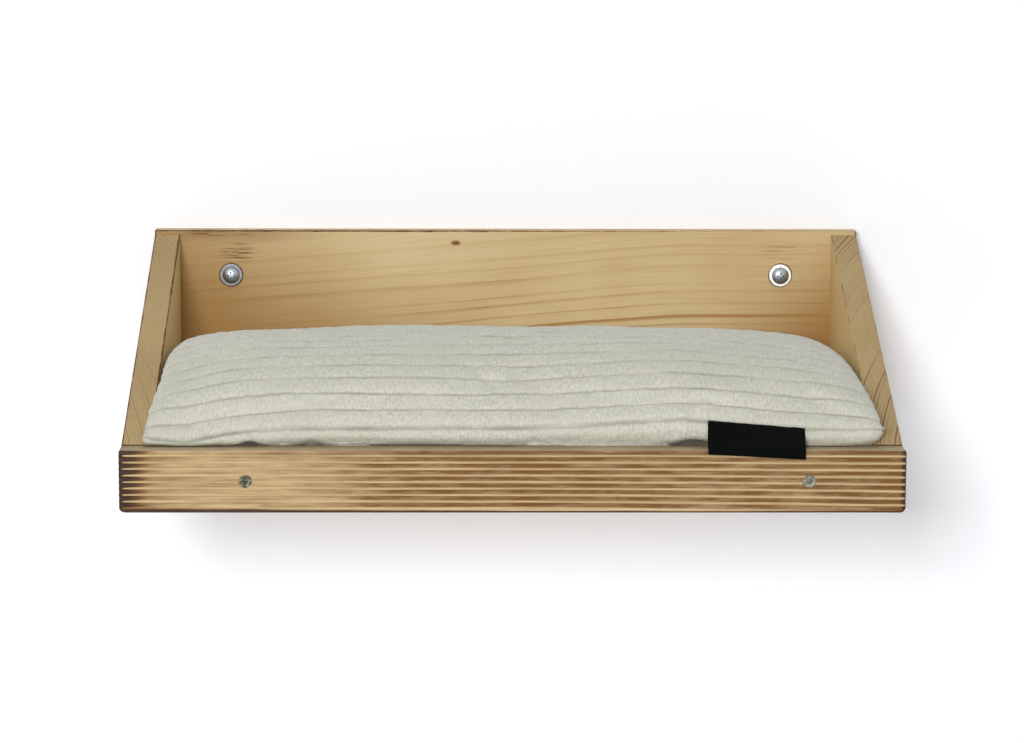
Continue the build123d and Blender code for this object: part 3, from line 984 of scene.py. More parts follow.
def raise_ribs(shape, columns, rows):
    """Raise the ribs, lumps and puckers, draw the seam in, and note how deep each groove is, for painted
    shade in the grooves, along the seam and where the cushion lies on the rail.

    The columns and rows are the grid's distances along a panel's length and depth.
    """
    sizes = cushion_sizes()
    grid_place = shape.verts.layers.float_vector["grid_place"]
    groove_layer = shape.verts.layers.float.new("groove")
    points = numpy.array([vert.co for vert in shape.verts])
    swell = noise_at(points, swell_reach, swell_seed)
    lumps = noise_at(points, lump_reach, lump_seed)
    lumps += small_lump_share * noise_at(points, lump_reach * small_lump_share, small_lump_seed)
    crimp = points * (1, pucker_length_share, pucker_length_share)
    puckers = noise_at(crimp, pucker_reach, pucker_seed)
    for vert, soft, lump, pucker in zip(shape.verts, swell, lumps, puckers):
        i, j, panel = (round(value) for value in vert[grid_place])
        from_end = min(columns[i], columns[-1] - columns[i])
        from_seam = min(rows[j], rows[-1] - rows[j], from_end)
        in_rib = rows[j] / sizes.rib_pitch % 1
        from_groove = min(in_rib, 1 - in_rib) * sizes.rib_pitch
        opened = 1 + crest_groove_share * min(1, from_seam / sizes.crest_run)
        at_seam = j in (0, len(rows) - 1) or i in (0, len(columns) - 1)
        groove = 0 if at_seam or panel < 0 else bell(2 * from_groove, sizes.groove_width * opened)
        drawn = bell(from_seam, seam_draw_reach)
        push = rib_crown * math.sin(math.pi * in_rib) * (panel > 0)
        push -= sizes.groove_depth * groove * (1 - drawn)
        push += swell_height * soft + lump_height * lump
        push += pucker_height * pucker * math.exp(-from_seam / pucker_fade)
        push -= seam_draw * drawn
        vert.co += vert.normal * push
        # Painted shade where the cushion lies on the rail, noted together with the grooves' and the seam's
        # painted shade
        lift = rail_lift(vert.co.x)
        above_rail = max(0, vert.co.z - rail_high.z - lift)
        on_rail = vert.co.y < rail_high.y + crevice_shade_depth_share * lift
        contact_shade = bell(above_rail, contact_shade_reach) if on_rail else 0
        vert[groove_layer] = max(groove, drawn, contact_shade_strength * contact_shade)


def map_cloth(shape, columns, rows):
    """Give the cushion its own map: the two panels laid flat, on either side of the front seam."""
    grid_place = shape.verts.layers.float_vector["grid_place"]
    cloth_map = shape.loops.layers.uv.new("cloth")
    for face in shape.faces:
        panel = min(round(vert[grid_place].z) for vert in face.verts)
        for loop in face.loops:
            i, j = (round(value) for value in loop.vert[grid_place].xy)
            loop[cloth_map].uv = (columns[i], rows[j] * panel)


def build_cushion():
    """Make the stuffed plush cushion, one closed piece with its ribs, seam and puckers."""
    panel_length = run_along(*length_curve())[-1]
    panel_depth = run_along(*depth_curve())[-1]
    column_shares = numpy.linspace(0, 1, round(panel_length / mesh_column) + 1)
    row_shares = rib_rows(panel_depth)
    moves = None
    moves = stuffing_moves(round(panel_length / cloth_cell), round(panel_depth / cloth_cell))

    def place(i, j, panel):
        from_seam = numpy.minimum(row_shares[j], 1 - row_shares[j]) * panel_depth
        flat = numpy.stack((column_shares[i] * panel_length, row_shares[j] * wander_depth_share, 0 * i), -1)
        wander = line_wander * noise_at(flat, wander_reach, wander_seed + panel)
        wander = wander * numpy.minimum(1, from_seam / cushion_sizes().rib_pitch) / panel_depth
        rows = numpy.clip(row_shares[j] + wander, 0, 1)
        formed = formed_point(column_shares[i], rows, panel, 0)
        if moves:
            formed = formed + between(moves[panel], column_shares[i], rows)
        return keep_clear(formed)

    mesh = two_panels("cushion", column_shares, row_shares, place)
    shape = bmesh.new()
    shape.from_mesh(mesh)
    shape.normal_update()
    raise_ribs(shape, column_shares * panel_length, row_shares * panel_depth)
    map_cloth(shape, column_shares * panel_length, row_shares * panel_depth)
    shape.to_mesh(mesh)
    shape.free()
    mesh.vertices.foreach_set("co", keep_clear(rows_of_three(mesh.vertices, "co")).ravel())
    mesh.attributes.remove(mesh.attributes["grid_place"])
    mesh.shade_smooth()
    mesh.update()
    piece = add_piece("plush_cushion", mesh, rib_plush(), "cushion")
    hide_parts("cushion_top_cover", "cushion_bottom_cover", "cushion_filling")


def add_piece(name, mesh, material, body):
    """Link a finished mesh as a piece that rides on a body of the record."""
    mesh.materials.append(material)
    piece = bpy.data.objects.new(name, mesh)
    bpy.context.scene.collection.objects.link(piece)
    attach(piece, body)
    return piece


# Label: a tape folded double, sewn into the front seam and hanging over the rail

label_columns = 24
label_rows = 40
label_layer_gap = 0.0004
label_rail_gap = 0.0007
label_drop = 0.0036
label_tilt_drop = 0.0034
label_seam_lap = 0.0012
label_lean = 0.0013
label_clear_share = 2
edge_out_share = 0.7
edge_up_share = 0.4
tape_length_share = 0.84


def label_path(share, middle_x, x):
    """Depth and height of the label's middle line, down its outside and back up its inside."""
    sizes = cushion_sizes()
    wave = float(numpy.interp(x, seam_wave_x, seam_wave_z))
    gap = label_rail_gap + sizes.label_thickness + label_layer_gap
    tilt = label_tilt_drop * (x - middle_x) / sizes.label_width
    edge = Vector((rail_low.y, rail_high.z))
    seam = Vector((front_seam_y, seam_z + wave))
    points = (
        seam + Vector((label_seam_lap, 0)),
        seam - Vector((label_seam_lap, label_seam_lap)),
        edge + label_clear_share * Vector((gap, gap)),
        edge + gap * Vector((-edge_out_share, edge_up_share)),
        edge - Vector((gap, label_drop + tilt)),
    )
    lengths = [(after - before).length for before, after in zip(points, points[1:])]
    outside = share <= 0.5
    target = (share * 2 if outside else 2 - share * 2) * sum(lengths)
    for before, after, length in zip(points, points[1:], lengths):
        if target <= length or after is points[-1]:
            place = before.lerp(after, min(target / length, 1))
            break
        target -= length
    if not outside:
        across = (after - before).normalized()
        place = place + Vector((-across.y, across.x)) * -label_layer_gap
    return place


def build_label():
    """Make the bare woven label, folded double and hanging from the seam over the rail."""
    sizes = cushion_sizes()
    middle_x = (label_low.x + label_high.x) / 2
    shape = bmesh.new()
    bmesh.ops.create_grid(shape, x_segments=label_columns, y_segments=label_rows, size=1)
    cloth_map = shape.loops.layers.uv.new("cloth")
    for face in shape.faces:
        for loop in face.loops:
            flat = loop.vert.co
            loop[cloth_map].uv = Vector((flat.x, (flat.y + 1) * tape_length_share)) * sizes.label_width / 2
    for vert in shape.verts:
        x = middle_x + vert.co.x * sizes.label_width / 2
        share = (vert.co.y + 1) / 2
        place = label_path(share, middle_x, x)
        vert.co = (x + label_lean * abs(1 - 2 * share) ** 2, place.x, place.y)
    bmesh.ops.recalc_face_normals(shape, faces=shape.faces)
    mesh = mesh_of(shape, "label")
    mesh.shade_smooth()
    piece = add_piece("woven_label", mesh, label_tape(), "cushion")
    wall = piece.modifiers.new("cloth_thickness", "SOLIDIFY")
    wall.thickness = sizes.label_thickness / 2
    wall.offset = 0
    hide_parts("cushion_label")
    places = [label_path(row / label_rows, middle_x, middle_x) for row in range(label_rows + 1)]


# Stage

camera_place = (-0.0423, -2.3754, 0.2807)
camera_yaw = math.radians(1.137)
camera_pitch = math.radians(8.452)
camera_roll = math.radians(0.209)
camera_lens = 116.82
wall_half_width = 3.0
wall_top_z = 2.5
floor_drop = 0.55
stage_depth = 4.0
wall_gap = 0.001
key_place = (-0.47, -2.9, 0.6)
key_size = 0.6
key_power = 49.0
back_lamp_place = (0.4, 2.2, 1.4)
back_lamp_power = 70.0
world_strength = 0.37
backdrop_glow = 0.12


def seen_plainly(node):
    """Whether a ray is the camera's own, and whether it is that, a reflection or seen through glass."""
    rays = node("LightPath").node.outputs
    seen = node("Math MAXIMUM", [rays["Is Camera Ray"], rays["Is Glossy Ray"]])
    return rays["Is Camera Ray"], node("Math MAXIMUM", [seen, rays["Is Transmission Ray"]])


def plain_paint(name, see_through_from_behind):
    """White paint that keeps the object's shadow and reads as a white background."""
    material, node = new_material(name)
    from_camera, seen = seen_plainly(node)
    paint = node("BsdfDiffuse", {"Color": colours().paint})
    light = node("Emission", {"Strength": node("Math MULTIPLY", [seen, backdrop_glow])})
    surface = node("AddShader", [paint, light])
    if see_through_from_behind:
        hidden = node("Math MULTIPLY", [node("NewGeometry", output="Backfacing"), from_camera])
        surface = node("MixShader", [hidden, surface, node("BsdfTransparent")])
    node("OutputMaterial", {"Surface": surface})
    return material


def add_panel(name, edge, move, material):
    """Flat panel of the stage, an edge as wide as the stage drawn out by a move."""
    shape = bmesh.new()
    near = [shape.verts.new((x, *edge)) for x in (-wall_half_width, wall_half_width)]
    far = [shape.verts.new(vert.co + Vector(move)) for vert in reversed(near)]
    shape.faces.new(near + far)
    mesh = mesh_of(shape, name)
    mesh.materials.append(material)
    panel = bpy.data.objects.new(name, mesh)
    bpy.context.scene.collection.objects.link(panel)


def add_lamp(name, place, target, power):
    """Square soft lamp turned towards a point."""
    lamp = bpy.data.lights.new(name, "AREA")
    lamp.size = key_size
    lamp.energy = power
    holder = bpy.data.objects.new(name, lamp)
    holder.location = place
    holder.rotation_euler = (target - Vector(place)).to_track_quat("-Z", "Y").to_euler()
    bpy.context.scene.collection.objects.link(holder)


def add_world():
    """Soft white light from all round, which reads as plain white where the camera sees it."""
    world = bpy.data.worlds.new("soft_white")
    world.use_nodes = True
    tree = world.node_tree
    node = partial(add_node, tree)
    strength = node("MapRange", [seen_plainly(node)[1], 0, 1, world_strength, 1])
    background = tree.nodes["Background"]
    background.inputs["Color"].default_value = (1, 1, 1, 1)
    tree.links.new(strength, background.inputs["Strength"])
    bpy.context.scene.world = world


def add_camera():
    """Camera at the photograph's angle."""
    lens = bpy.data.cameras.new("camera")
    lens.lens = camera_lens
    camera = bpy.data.objects.new("camera", lens)
    turn = Matrix.Rotation(-camera_yaw, 4, "Z") @ Matrix.Rotation(math.pi / 2 - camera_pitch, 4, "X")
    turn = turn @ Matrix.Rotation(camera_roll, 4, "Z")
    camera.matrix_world = Matrix.Translation(camera_place) @ turn
    bpy.context.scene.collection.objects.link(camera)
    bpy.context.scene.camera = camera


def build_stage():
    """Make the wall, the floor, the soft lamps and the camera."""
    floor_z = cad_low.z - floor_drop
    wall_y = -wall_gap
    wall_paint = plain_paint("white_wall_paint", True)
    floor_paint = plain_paint("white_floor_paint", False)
    add_panel("wall", (wall_y, floor_z), (0, 0, wall_top_z - floor_z), wall_paint)
    add_panel("floor", (-stage_depth, floor_z), (0, wall_y + stage_depth, 0), floor_paint)
    middle = (cad_low + cad_high) / 2
    add_lamp("key_lamp", key_place, middle, key_power)
    add_lamp("rear_lamp", back_lamp_place, middle, back_lamp_power)
    add_world()
    add_camera()
    bpy.context.scene.view_settings.view_transform = "Standard"


# Boards and screws that keep their CAD shape

side_heart_out = 0.338
side_heart_z = -0.12
back_ring_width = 0.0085
side_ring_width = 0.0021
back_calm_share = 0.4
side_calm_share = 0.45
back_char_share = 0.6
screw_roughness = (0.3, 0.46)
washer_roughness = (0.5, 0.64)


def dress(part, material):
    """Give a part of the CAD model its material."""
    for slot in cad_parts[part].material_slots:
        slot.material = material


def build_boards():
    """Give the boards their wood."""
    palette = colours()
    back_wood = spruce_material(
        "scorched_spruce_back", "XYZ", (0, heart_depth, -heart_drop), back_ring_width, back_calm_share,
        back_char_share, palette.spruce, palette.spruce_line, back_board_edges,
        # Painted shade with warm bounce light in the back board's lower corners
        worn=back_board_wear, raised=climbing_grain, painted_light=(back_board_painted_shade, palette.corner_shade_spruce),
        marks=back_board_marks,
    )
    side_wood = spruce_material(
        "scorched_spruce_side", "YXZ", (0, side_heart_out, side_heart_z), side_ring_width,
        side_calm_share, 1, palette.shaded_spruce, palette.dark_line, side_board_edges,
        # Painted bounce light on the sides' faces below their sloping tops
        worn=side_board_wear, painted_light=(side_board_bounce_light, palette.bounce_lit_spruce), mirrored=True,
    )
    floor_wood = spruce_material(
        "planed_spruce_floor", "XZY", (0, -heart_drop, 0), wood_sizes().ring_width, side_calm_share, 1,
        palette.spruce, palette.spruce_line, floor_board_edges,
    )
    dress("back_board", back_wood)
    dress("left_side", side_wood)
    dress("right_side", side_wood)
    dress("floor_board", floor_wood)


def build_joint_screws():
    """Give the screws and washers their plating."""
    palette = colours()
    steel = zinc_plated_steel("zinc_plated_steel", palette.zinc, screw_roughness)
    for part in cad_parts:
        if "screw" in part:
            dress(part, steel)
    # One plating, painted brighter on the right washer as a painted reflection and darker on the left as
    # painted shade
    for side, name, zinc in (("left", "shade_painted", palette.shaded_washer_zinc), ("right", "reflection_painted", palette.highlit_washer_zinc)):
        washer_steel = zinc_plated_steel(name + "_zinc_plated_steel", zinc, washer_roughness)
        dress("wall_washer_" + side, washer_steel)


# Front rail: a strip of decking with nine soft grooves that fan out a little to the right

groove_count = 9
first_groove_drop = 0.0014
rail_groove_pitch = 0.0042
rail_groove_depth = 0.0012
last_groove_drop = first_groove_drop + (groove_count - 0.5) * rail_groove_pitch
fan_growth_share = 0.08
fan_power = 1.5
valley_half_share = 0.2
rail_stations = 150
end_station_share = 0.5
bottom_corner_radius = 0.0038
top_corner_radius = 0.0013
rail_edge_round = 0.0005
groove_waver = 0.00025
waver_reach = 0.05
screw_hole_clearance = 0.0002
wave_shares = (-0.5, -0.4, -0.3, -0.2, 0.0, 0.2, 0.3, 0.4)
sharp_angle = math.radians(38.0)
turning_steps = 40
turned_merge_distance = 1e-6


def groove_drop(drop, x):
    """Where a line of the rail's grooves runs, below its top edge, at a place along it."""
    growth = 1 + fan_growth_share * max(0, x / rail_high.x) ** fan_power
    last = last_groove_drop * growth
    if drop <= last_groove_drop:
        return drop * growth
    return last + (drop - last_groove_drop) * (rail_height - last) / (rail_height - last_groove_drop)


def rail_section():
    """Front face of the rail from its top to its bottom, as pairs of drop and depth."""
    section = [(0.0, rail_edge_round)]
    for groove in range(groove_count):
        for share in wave_shares:
            drop = first_groove_drop + (groove + share) * rail_groove_pitch
            if drop > rail_edge_round:
                away = min(1, max(0, (abs(share) - valley_half_share) / (0.5 - valley_half_share)))
                section.append((drop, rail_groove_depth * (1 - away * away * (3 - 2 * away))))
    foot = (rail_height - rail_edge_round, 0.0), (rail_height, rail_edge_round)
    return [*section, (last_groove_drop, 0.0), *foot]


def corner_cut(from_end, radius):
    """How far a rounded corner takes the edge back, at a distance from the rail's end."""
    return radius - math.sqrt(radius ** 2 - max(0, radius - from_end) ** 2)


def build_rail():
    """Make the grooved front rail, with its rounded corners and its sunk screw holes."""
    shape = bmesh.new()
    thickness = rail_high.y - rail_low.y
    rim = [(0.0, thickness), *rail_section(), (rail_height, thickness)]
    verts = [shape.verts.new((0, rail_low.y + depth, rail_high.z - drop)) for drop, depth in rim]
    edges = [shape.edges.new(pair) for pair in zip(verts, verts[1:] + verts[:1])]
    bmesh.ops.spin(
        shape, geom=verts + edges, cent=(0, 0, 0), axis=(1, 0, 0), angle=0,
        dvec=(1 / rail_stations, 0, 0), steps=rail_stations, use_merge=False,
    )
    bmesh.ops.holes_fill(shape, edges=[edge for edge in shape.edges if edge.is_boundary])
    for vert in shape.verts:
        share = 2 * vert.co.x - 1
        x = rail_high.x * share * (1 + end_station_share * (1 - share * share))
        drop = rail_high.z - vert.co.z
        if vert.co.y < (rail_low.y + rail_high.y) / 2:
            drop = groove_drop(drop, x)
            if 0 < drop < rail_height:
                drop += groove_waver * noise.noise(Vector((x / waver_reach, drop / rail_groove_pitch, 0)))
        from_end = rail_high.x - abs(x)
        drop = max(drop, corner_cut(from_end, top_corner_radius))
        drop = min(drop, rail_height - corner_cut(from_end, bottom_corner_radius))
        vert.co = (x, vert.co.y, rail_high.z - drop)
    bmesh.ops.recalc_face_normals(shape, faces=shape.faces)
    mesh = mesh_of(shape, "front_rail_decking")
    piece = add_piece("front_rail_decking", mesh, decking_material(), "shelf")
    cut_away(piece, screw_holes())
    piece.data.set_sharp_from_angle(angle=sharp_angle)
    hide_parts("front_rail")


def add_turned(shape, outline, middle):
    """Turn an outline of radius and depth pairs round the Y direction into a closed shell."""
    verts = [shape.verts.new(middle + Vector((radius, depth, 0))) for radius, depth in outline]
    edges = [shape.edges.new(pair) for pair in zip(verts, verts[1:])]
    bmesh.ops.spin(
        shape, geom=verts + edges, cent=middle, axis=(0, 1, 0), angle=math.tau,
        steps=turning_steps, use_merge=True,
    )
    bmesh.ops.remove_doubles(shape, verts=shape.verts, dist=turned_merge_distance)
    bmesh.ops.recalc_face_normals(shape, faces=shape.faces)


def screw_place(part):
    """A screw's middle in the plane of its head, its two ends along its length, and its head's radius."""
    low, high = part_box(part)
    middle = Vector(((low.x + high.x) / 2, 0, (low.z + high.z) / 2))
    return middle, low.y, high.y, (high.x - low.x) / 2


def screw_holes():
    """Countersunk holes for both rail screws, to be cut from the rail."""
    shape = bmesh.new()
    for part in ("front_screw_left", "front_screw_right"):
        middle, head_y, _, radius = screw_place(part)
        radius += screw_hole_clearance
        shank = radius / 2
        front, rear = rail_low.y - radius, rail_high.y + radius
        outline = (
            (0, front), (radius, front), (radius, head_y), (shank, head_y + radius - shank),
            (shank, rear), (0, rear),
        )
        add_turned(shape, outline, middle)
    return mesh_of(shape, "cutter")


def cut_away(piece, cutter_mesh):
    """Cut one mesh from a piece, and keep the result as the piece's mesh."""
    cutter = bpy.data.objects.new("cutter", cutter_mesh)
    bpy.context.scene.collection.objects.link(cutter)
    cut = piece.modifiers.new("cut", "BOOLEAN")
    cut.object = cutter
    cut.operation = "DIFFERENCE"
    cut.solver = "EXACT"
    evaluated = piece.evaluated_get(bpy.context.evaluated_depsgraph_get())
    result = bpy.data.meshes.new_from_object(evaluated)
    piece.modifiers.clear()
    piece.data = result
    bpy.data.objects.remove(cutter)


# Decking spruce: planed between the cutters of a grooving head, then burnt so that the grooves stay dark

rail_fibre_range = (0.4, 0.75, 0, 0.55)
rail_line_share = 0.5
valley_shares = (0.25, 0.95)
front_depth_share = 3
# How strongly the flame burnt the grooves, at shares of the rail's length from its left end
groove_burns = (
    (0, 1), (0.04, 0.45), (0.12, 0.3), (0.24, 0.4), (0.34, 0.85), (0.5, 0.95), (0.62, 0.85),
    (0.85, 0.8), (1, 0.95),
)
burn_length = 0.034
burn_height = 0.0042
burn_patch_range = (0.3, 0.68, -0.3, 0.3)
rail_speck_range = (0.56, 0.74, 0, 0.35)
end_burn_reach = 0.0033
end_spike_reach = 0.02
right_end_share = 0.22
raggedness = 0.9
end_char_range = (0.15, 1.1, 1, 0)
bottom_left_reach = 0.0042
bottom_right_reach = 0.0016
bottom_char_range = (0.3, 1, 1, 0)
end_brown_range = (0, 0.5, 0, 1)
end_black_range = (0.35, 0.9, 0, 0.9)
cushion_shade_front_y = -0.3
cushion_shade_rear_y = -0.284
cushion_shade_patch_share = 1.4
top_skin_start = 0.0004
top_skin_end = 0.0001
top_strength = 0.75
rail_roughness = (0.55, 0.75)
rail_bump_strength = 0.5


def rail_char(node, x, y, z, valley, fibres):
    """Char of the rail: spikes that run in along the grooves from its ends, and a line under it."""
    from_end = node("Math SUBTRACT", [rail_high.x, node("Math ABSOLUTE", [x])])
    behind_front = node("Math SUBTRACT", [y, rail_low.y])
    from_end = node("Math MULTIPLY_ADD", [behind_front, end_face_share, from_end])
    reach = node("MapRange", [x, -rail_high.x, rail_high.x, 1, right_end_share])
    spike = node("Math MULTIPLY_ADD", [valley, end_spike_reach, end_burn_reach])
    inside = node("Math DIVIDE", [from_end, node("Math MULTIPLY", [spike, reach])])
    ragged = node("Math MULTIPLY_ADD", [fibres, raggedness, -raggedness / 2])
    end_char = node("Math ADD", [inside, ragged])
    end_char = node("MapRange SMOOTHSTEP", [end_char, *end_char_range])
    above_bottom = node("Math SUBTRACT", [z, rail_low.z])
    reach = node("MapRange", [x, -rail_high.x, 0.0, bottom_left_reach, bottom_right_reach])
    bottom_char = node("Math ADD", [node("Math DIVIDE", [above_bottom, reach]), ragged])
    bottom_char = node("MapRange SMOOTHSTEP", [bottom_char, *bottom_char_range])
    return node("Math MAXIMUM", [end_char, bottom_char])


def decking_material():
    """Make the rail's wood, whose scorch follows the depth of its own grooves."""
    sizes = wood_sizes()
    palette = colours()
    material, node = new_material("grooved_spruce_decking")
    position = node("TexCoord", output="Object")
    x, y, z = node("SeparateXYZ", [position]).node.outputs
    line = wood_figure(node, x, y, z, (0, heart_depth, -heart_drop), sizes.ring_width)
    fibres = wood_fibres(node, x, y, z, sizes.fibre_length, sizes.fibre_width)
    specks = wood_fibres(node, x, y, z, speck_length, speck_width)
    fibre_shade = node("MapRange", [fibres, *rail_fibre_range])
    darkness = node("Math MAXIMUM", [node("Math MULTIPLY", [line, rail_line_share]), fibre_shade])
    # Depth in a groove: 0 on a ridge and 1 in a valley, and 0 on the top face
    valley = [rail_low.y + share * rail_groove_depth for share in valley_shares]
    valley = node("MapRange", [y, *valley, 0, 1])
    front = node("Math LESS_THAN", [y, rail_low.y + front_depth_share * rail_groove_depth])
    valley = node("Math MULTIPLY", [valley, front])
    along_share = node("MapRange", [x, -rail_high.x, rail_high.x, 0, 1])
    strength = node("ValToRGB", [along_share], stops=groove_burns)
    patches = node("VectorMath MULTIPLY", [position, (1 / burn_length, 0, 1 / burn_height)])
    patches = node("TexNoise", {"Vector": patches, **fibre_noise})
    patches = node("MapRange", [patches, *burn_patch_range])
    burnt = node("Math ADD", [strength, patches], use_clamp=True)
    burnt = node("Math MULTIPLY", [burnt, valley])
    speck_shade = node("Math MULTIPLY", [node("MapRange", [specks, *rail_speck_range]), strength])
    burnt = node("Math ADD", [burnt, speck_shade], use_clamp=True)
    char = rail_char(node, x, y, z, valley, fibres)
    browned = node("MapRange", [char, *end_brown_range])
    charred = node("MapRange", [char, *end_black_range])
    # The top face is weathered grey, and painted darker behind as painted shade under the cushion
    under_cushion_shade = node("MapRange", [y, cushion_shade_front_y, cushion_shade_rear_y, 0, 1], clamp=False)
    under_cushion_shade = node("Math MULTIPLY_ADD", [patches, cushion_shade_patch_share, under_cushion_shade], use_clamp=True)
    top = node("Mix RGBA", [under_cushion_shade, palette.rail_top, palette.rail_top_cushion_shade])
    on_top = node(
        "MapRange", [z, rail_high.z - top_skin_start, rail_high.z - top_skin_end, 0, top_strength],
    )
    wood = palette.rail_spruce
    for share, coat in (
        (darkness, palette.dark_line), (burnt, palette.dark_line), (browned, palette.scorch_brown),
        (charred, palette.scorch_black), (on_top, top),
    ):
        wood = node("Mix RGBA", [share, wood, coat])
    finish_wood(node, wood, line, fibres, rail_roughness, rail_bump_strength)
    return material


# Screws: domed wall screws with a cross recess and a wood thread, and sunk rail screws with a star

head_rim_share = 0.3
dome_steps = 9
shank_share = 0.36
core_share = 0.31
thread_share = 0.5
thread_root_share = 0.8
thread_half_share = 0.3
thread_pitch = 0.0026
thread_start_gap = 0.0005
thread_steps_in_a_turn = 20
tip_share = 0.16
flat_head_share = 0.97
head_edge_share = 0.04
recess_taper_share = 0.55
recess_overrun = 0.001
# Span, width and depth of a recess's bars
wall_recess_bar = (0.006, 0.0015, 0.0024)
rail_recess_bar = (0.0046, 0.0011, 0.0018)
star_tick_bar = (0.00576, 0.0004, 0.0005)


def recess_bar(middle, span, width, depth, turn):
    """One tapering bar of a recess, from above the head's top down into it."""
    shape = bmesh.new()
    verts = bmesh.ops.create_cube(shape, size=1)["verts"]
    for vert in verts:
        deep = vert.co.y > 0
        taper = recess_taper_share if deep else 1
        y = depth if deep else -recess_overrun
        vert.co = (vert.co.x * span * taper, y, vert.co.z * width * taper)
    bmesh.ops.rotate(shape, verts=verts, cent=(0, 0, 0), matrix=Matrix.Rotation(turn, 3, "Y"))
    bmesh.ops.translate(shape, verts=verts, vec=middle)
    return mesh_of(shape, "cutter")


def add_thread(shape, middle, start, end, core, crest):
    """Helical ridge round a screw's core."""
    half = thread_pitch * thread_half_share
    root = core * thread_root_share
    ridge = ((root, start - half), (crest, start), (root, start + half))
    verts = [shape.verts.new(middle + Vector((radius, depth, 0))) for radius, depth in ridge]
    edges = [shape.edges.new(pair) for pair in zip(verts, verts[1:] + verts[:1])]
    turns = (end - start) / thread_pitch
    steps = round(turns * thread_steps_in_a_turn)
    bmesh.ops.spin(
        shape, geom=verts + edges, cent=middle, axis=(0, 1, 0), dvec=(0, (end - start) / steps, 0),
        angle=math.tau * turns, steps=steps, use_merge=False,
    )
    bmesh.ops.holes_fill(shape, edges=[edge for edge in shape.edges if edge.is_boundary])


def finish_screw(part, shape, middle, head_y, steel, bars):
    """Make a screw's shape a piece in place of its CAD part, and cut the bars of its recess."""
    bmesh.ops.recalc_face_normals(shape, faces=shape.faces)
    name = part + "_turned"
    piece = add_piece(name, mesh_of(shape, name), steel, "shelf")
    top = Vector((middle.x, head_y, middle.z))
    for bar, turn in bars:
        cut_away(piece, recess_bar(top, *bar, turn))
    piece.data.set_sharp_from_angle(angle=sharp_angle)
    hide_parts(part)


def build_wall_screws():
    """Make both wall screws, with their domed heads, recesses and threads."""
    steel = zinc_plated_steel("wall_screw_steel", colours().zinc, screw_roughness)
    for part in ("wall_screw_left", "wall_screw_right"):
        middle, head_y, tip_y, radius = screw_place(part)
        base = washer_low.y
        rise = base - head_y
        rim = rise * head_rim_share
        outline = []
        for step in range(dome_steps):
            angle = step / (dome_steps - 1) * math.pi / 2
            outline.append((radius * math.sin(angle), base - rim - (rise - rim) * math.cos(angle)))
        shank = radius * shank_share
        core = radius * core_share
        taper = tip_y - (tip_y - base) * tip_share
        outline += [
            (radius, base), (shank, base), (shank, thread_start_gap), (core, thread_start_gap),
            (core, taper), (0, tip_y),
        ]
        shape = bmesh.new()
        add_turned(shape, outline, middle)
        add_thread(shape, middle, thread_start_gap + thread_pitch, taper, core, radius * thread_share)
        bars = [(wall_recess_bar, turn) for turn in (0, math.pi / 2)]
        finish_screw(part, shape, middle, head_y, steel, bars)


def build_rail_screws():
    """Make both sunk rail screws, with their star-shaped recesses."""
    steel = dulled_steel()
    for part in ("front_screw_left", "front_screw_right"):
        middle, head_y, tip_y, radius = screw_place(part)
        shank = radius / 2
        outline = [
            (0, head_y), (radius * flat_head_share, head_y), (radius, head_y + radius * head_edge_share),
            (shank, head_y + radius - shank), (shank, tip_y - radius), (0, tip_y),
        ]
        shape = bmesh.new()
        add_turned(shape, outline, middle)
        bars = [(rail_recess_bar, turn) for turn in (0, math.pi / 2)]
        bars += [(star_tick_bar, turn) for turn in (math.pi / 4, 3 * math.pi / 4)]
        finish_screw(part, shape, middle, head_y, steel, bars)


# Operators, panel and main


class Undoable:
    """What every operator here has besides its own names."""

    bl_options = {"REGISTER", "UNDO"}


class CATSHELF_OT_stage(Undoable, bpy.types.Operator):
    """Make the wall, the floor, the lamps and the camera"""

    bl_idname = "cat_shelf.stage"
    bl_label = "Make stage"

    def execute(self, context):
        build_stage()
        return {"FINISHED"}


class CATSHELF_OT_boards(Undoable, bpy.types.Operator):
    """Give the back board, the sides and the floor board their scorched spruce"""

    bl_idname = "cat_shelf.boards"
    bl_label = "Dress boards"

    def execute(self, context):
        build_boards()
        return {"FINISHED"}


class CATSHELF_OT_rail(Undoable, bpy.types.Operator):
    """Make the grooved front rail"""

    bl_idname = "cat_shelf.rail"
    bl_label = "Make rail"

    def execute(self, context):
        build_rail()
        return {"FINISHED"}


class CATSHELF_OT_joint_screws(Undoable, bpy.types.Operator):
    """Give the washers and the hidden joint screws their zinc plating"""

    bl_idname = "cat_shelf.joint_screws"
    bl_label = "Dress joint screws"

    def execute(self, context):
        build_joint_screws()
        return {"FINISHED"}


class CATSHELF_OT_wall_screws(Undoable, bpy.types.Operator):
    """Make both domed wall screws"""

    bl_idname = "cat_shelf.wall_screws"
    bl_label = "Make wall screws"

    def execute(self, context):
        build_wall_screws()
        return {"FINISHED"}


class CATSHELF_OT_rail_screws(Undoable, bpy.types.Operator):
    """Make both countersunk rail screws"""

    bl_idname = "cat_shelf.rail_screws"
    bl_label = "Make rail screws"

    def execute(self, context):
        build_rail_screws()
        return {"FINISHED"}


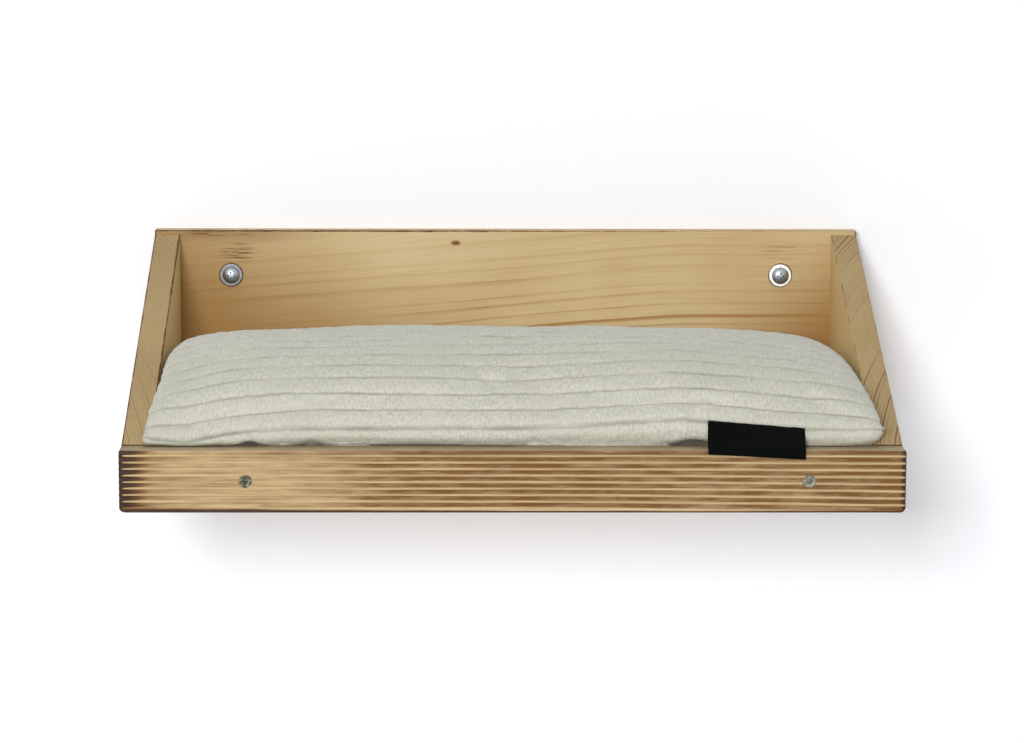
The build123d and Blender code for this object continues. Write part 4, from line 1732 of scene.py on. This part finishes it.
class CATSHELF_OT_cushion(Undoable, bpy.types.Operator):
    """Make the stuffed plush cushion"""

    bl_idname = "cat_shelf.cushion"
    bl_label = "Make cushion"

    def execute(self, context):
        build_cushion()
        return {"FINISHED"}


class CATSHELF_OT_label(Undoable, bpy.types.Operator):
    """Make the bare woven label"""

    bl_idname = "cat_shelf.label"
    bl_label = "Make label"

    def execute(self, context):
        build_label()
        return {"FINISHED"}


operators = (
    CATSHELF_OT_stage, CATSHELF_OT_boards, CATSHELF_OT_rail, CATSHELF_OT_joint_screws,
    CATSHELF_OT_wall_screws, CATSHELF_OT_rail_screws, CATSHELF_OT_cushion, CATSHELF_OT_label,
)
groups = {
    "cat_shelf_cushion": CatShelfCushionSizes,
    "cat_shelf_wood": CatShelfWoodSizes,
    "cat_shelf_colours": CatShelfColours,
}


class CATSHELF_PT_build(bpy.types.Panel):
    """The sizes, the colours and a button for each group of pieces"""

    bl_label = "Cat wall alcove"
    bl_idname = "CATSHELF_PT_build"
    bl_space_type = "VIEW_3D"
    bl_region_type = "UI"
    bl_category = "Cat alcove"

    def draw(self, context):
        for name, group in groups.items():
            for value in group.__annotations__:
                self.layout.prop(getattr(context.scene, name), value)
        for item in operators:
            self.layout.operator(item.bl_idname)


classes = (*groups.values(), *operators, CATSHELF_PT_build)


def register():
    """Register the classes and hang the sizes and colours on the scene."""
    for item in classes:
        bpy.utils.register_class(item)
    for name, group in groups.items():
        setattr(bpy.types.Scene, name, bpy.props.PointerProperty(type=group))


def unregister():
    """Take the sizes, the colours and the classes away again."""
    for name in groups:
        delattr(bpy.types.Scene, name)
    for item in reversed(classes):
        bpy.utils.unregister_class(item)


def main():
    """Build the whole scene."""
    register()
    bpy.ops.cat_shelf.stage()
    bpy.ops.cat_shelf.boards()
    bpy.ops.cat_shelf.rail()
    bpy.ops.cat_shelf.joint_screws()
    bpy.ops.cat_shelf.wall_screws()
    bpy.ops.cat_shelf.rail_screws()
    bpy.ops.cat_shelf.cushion()
    bpy.ops.cat_shelf.label()


if __name__ == "__main__":
    main()
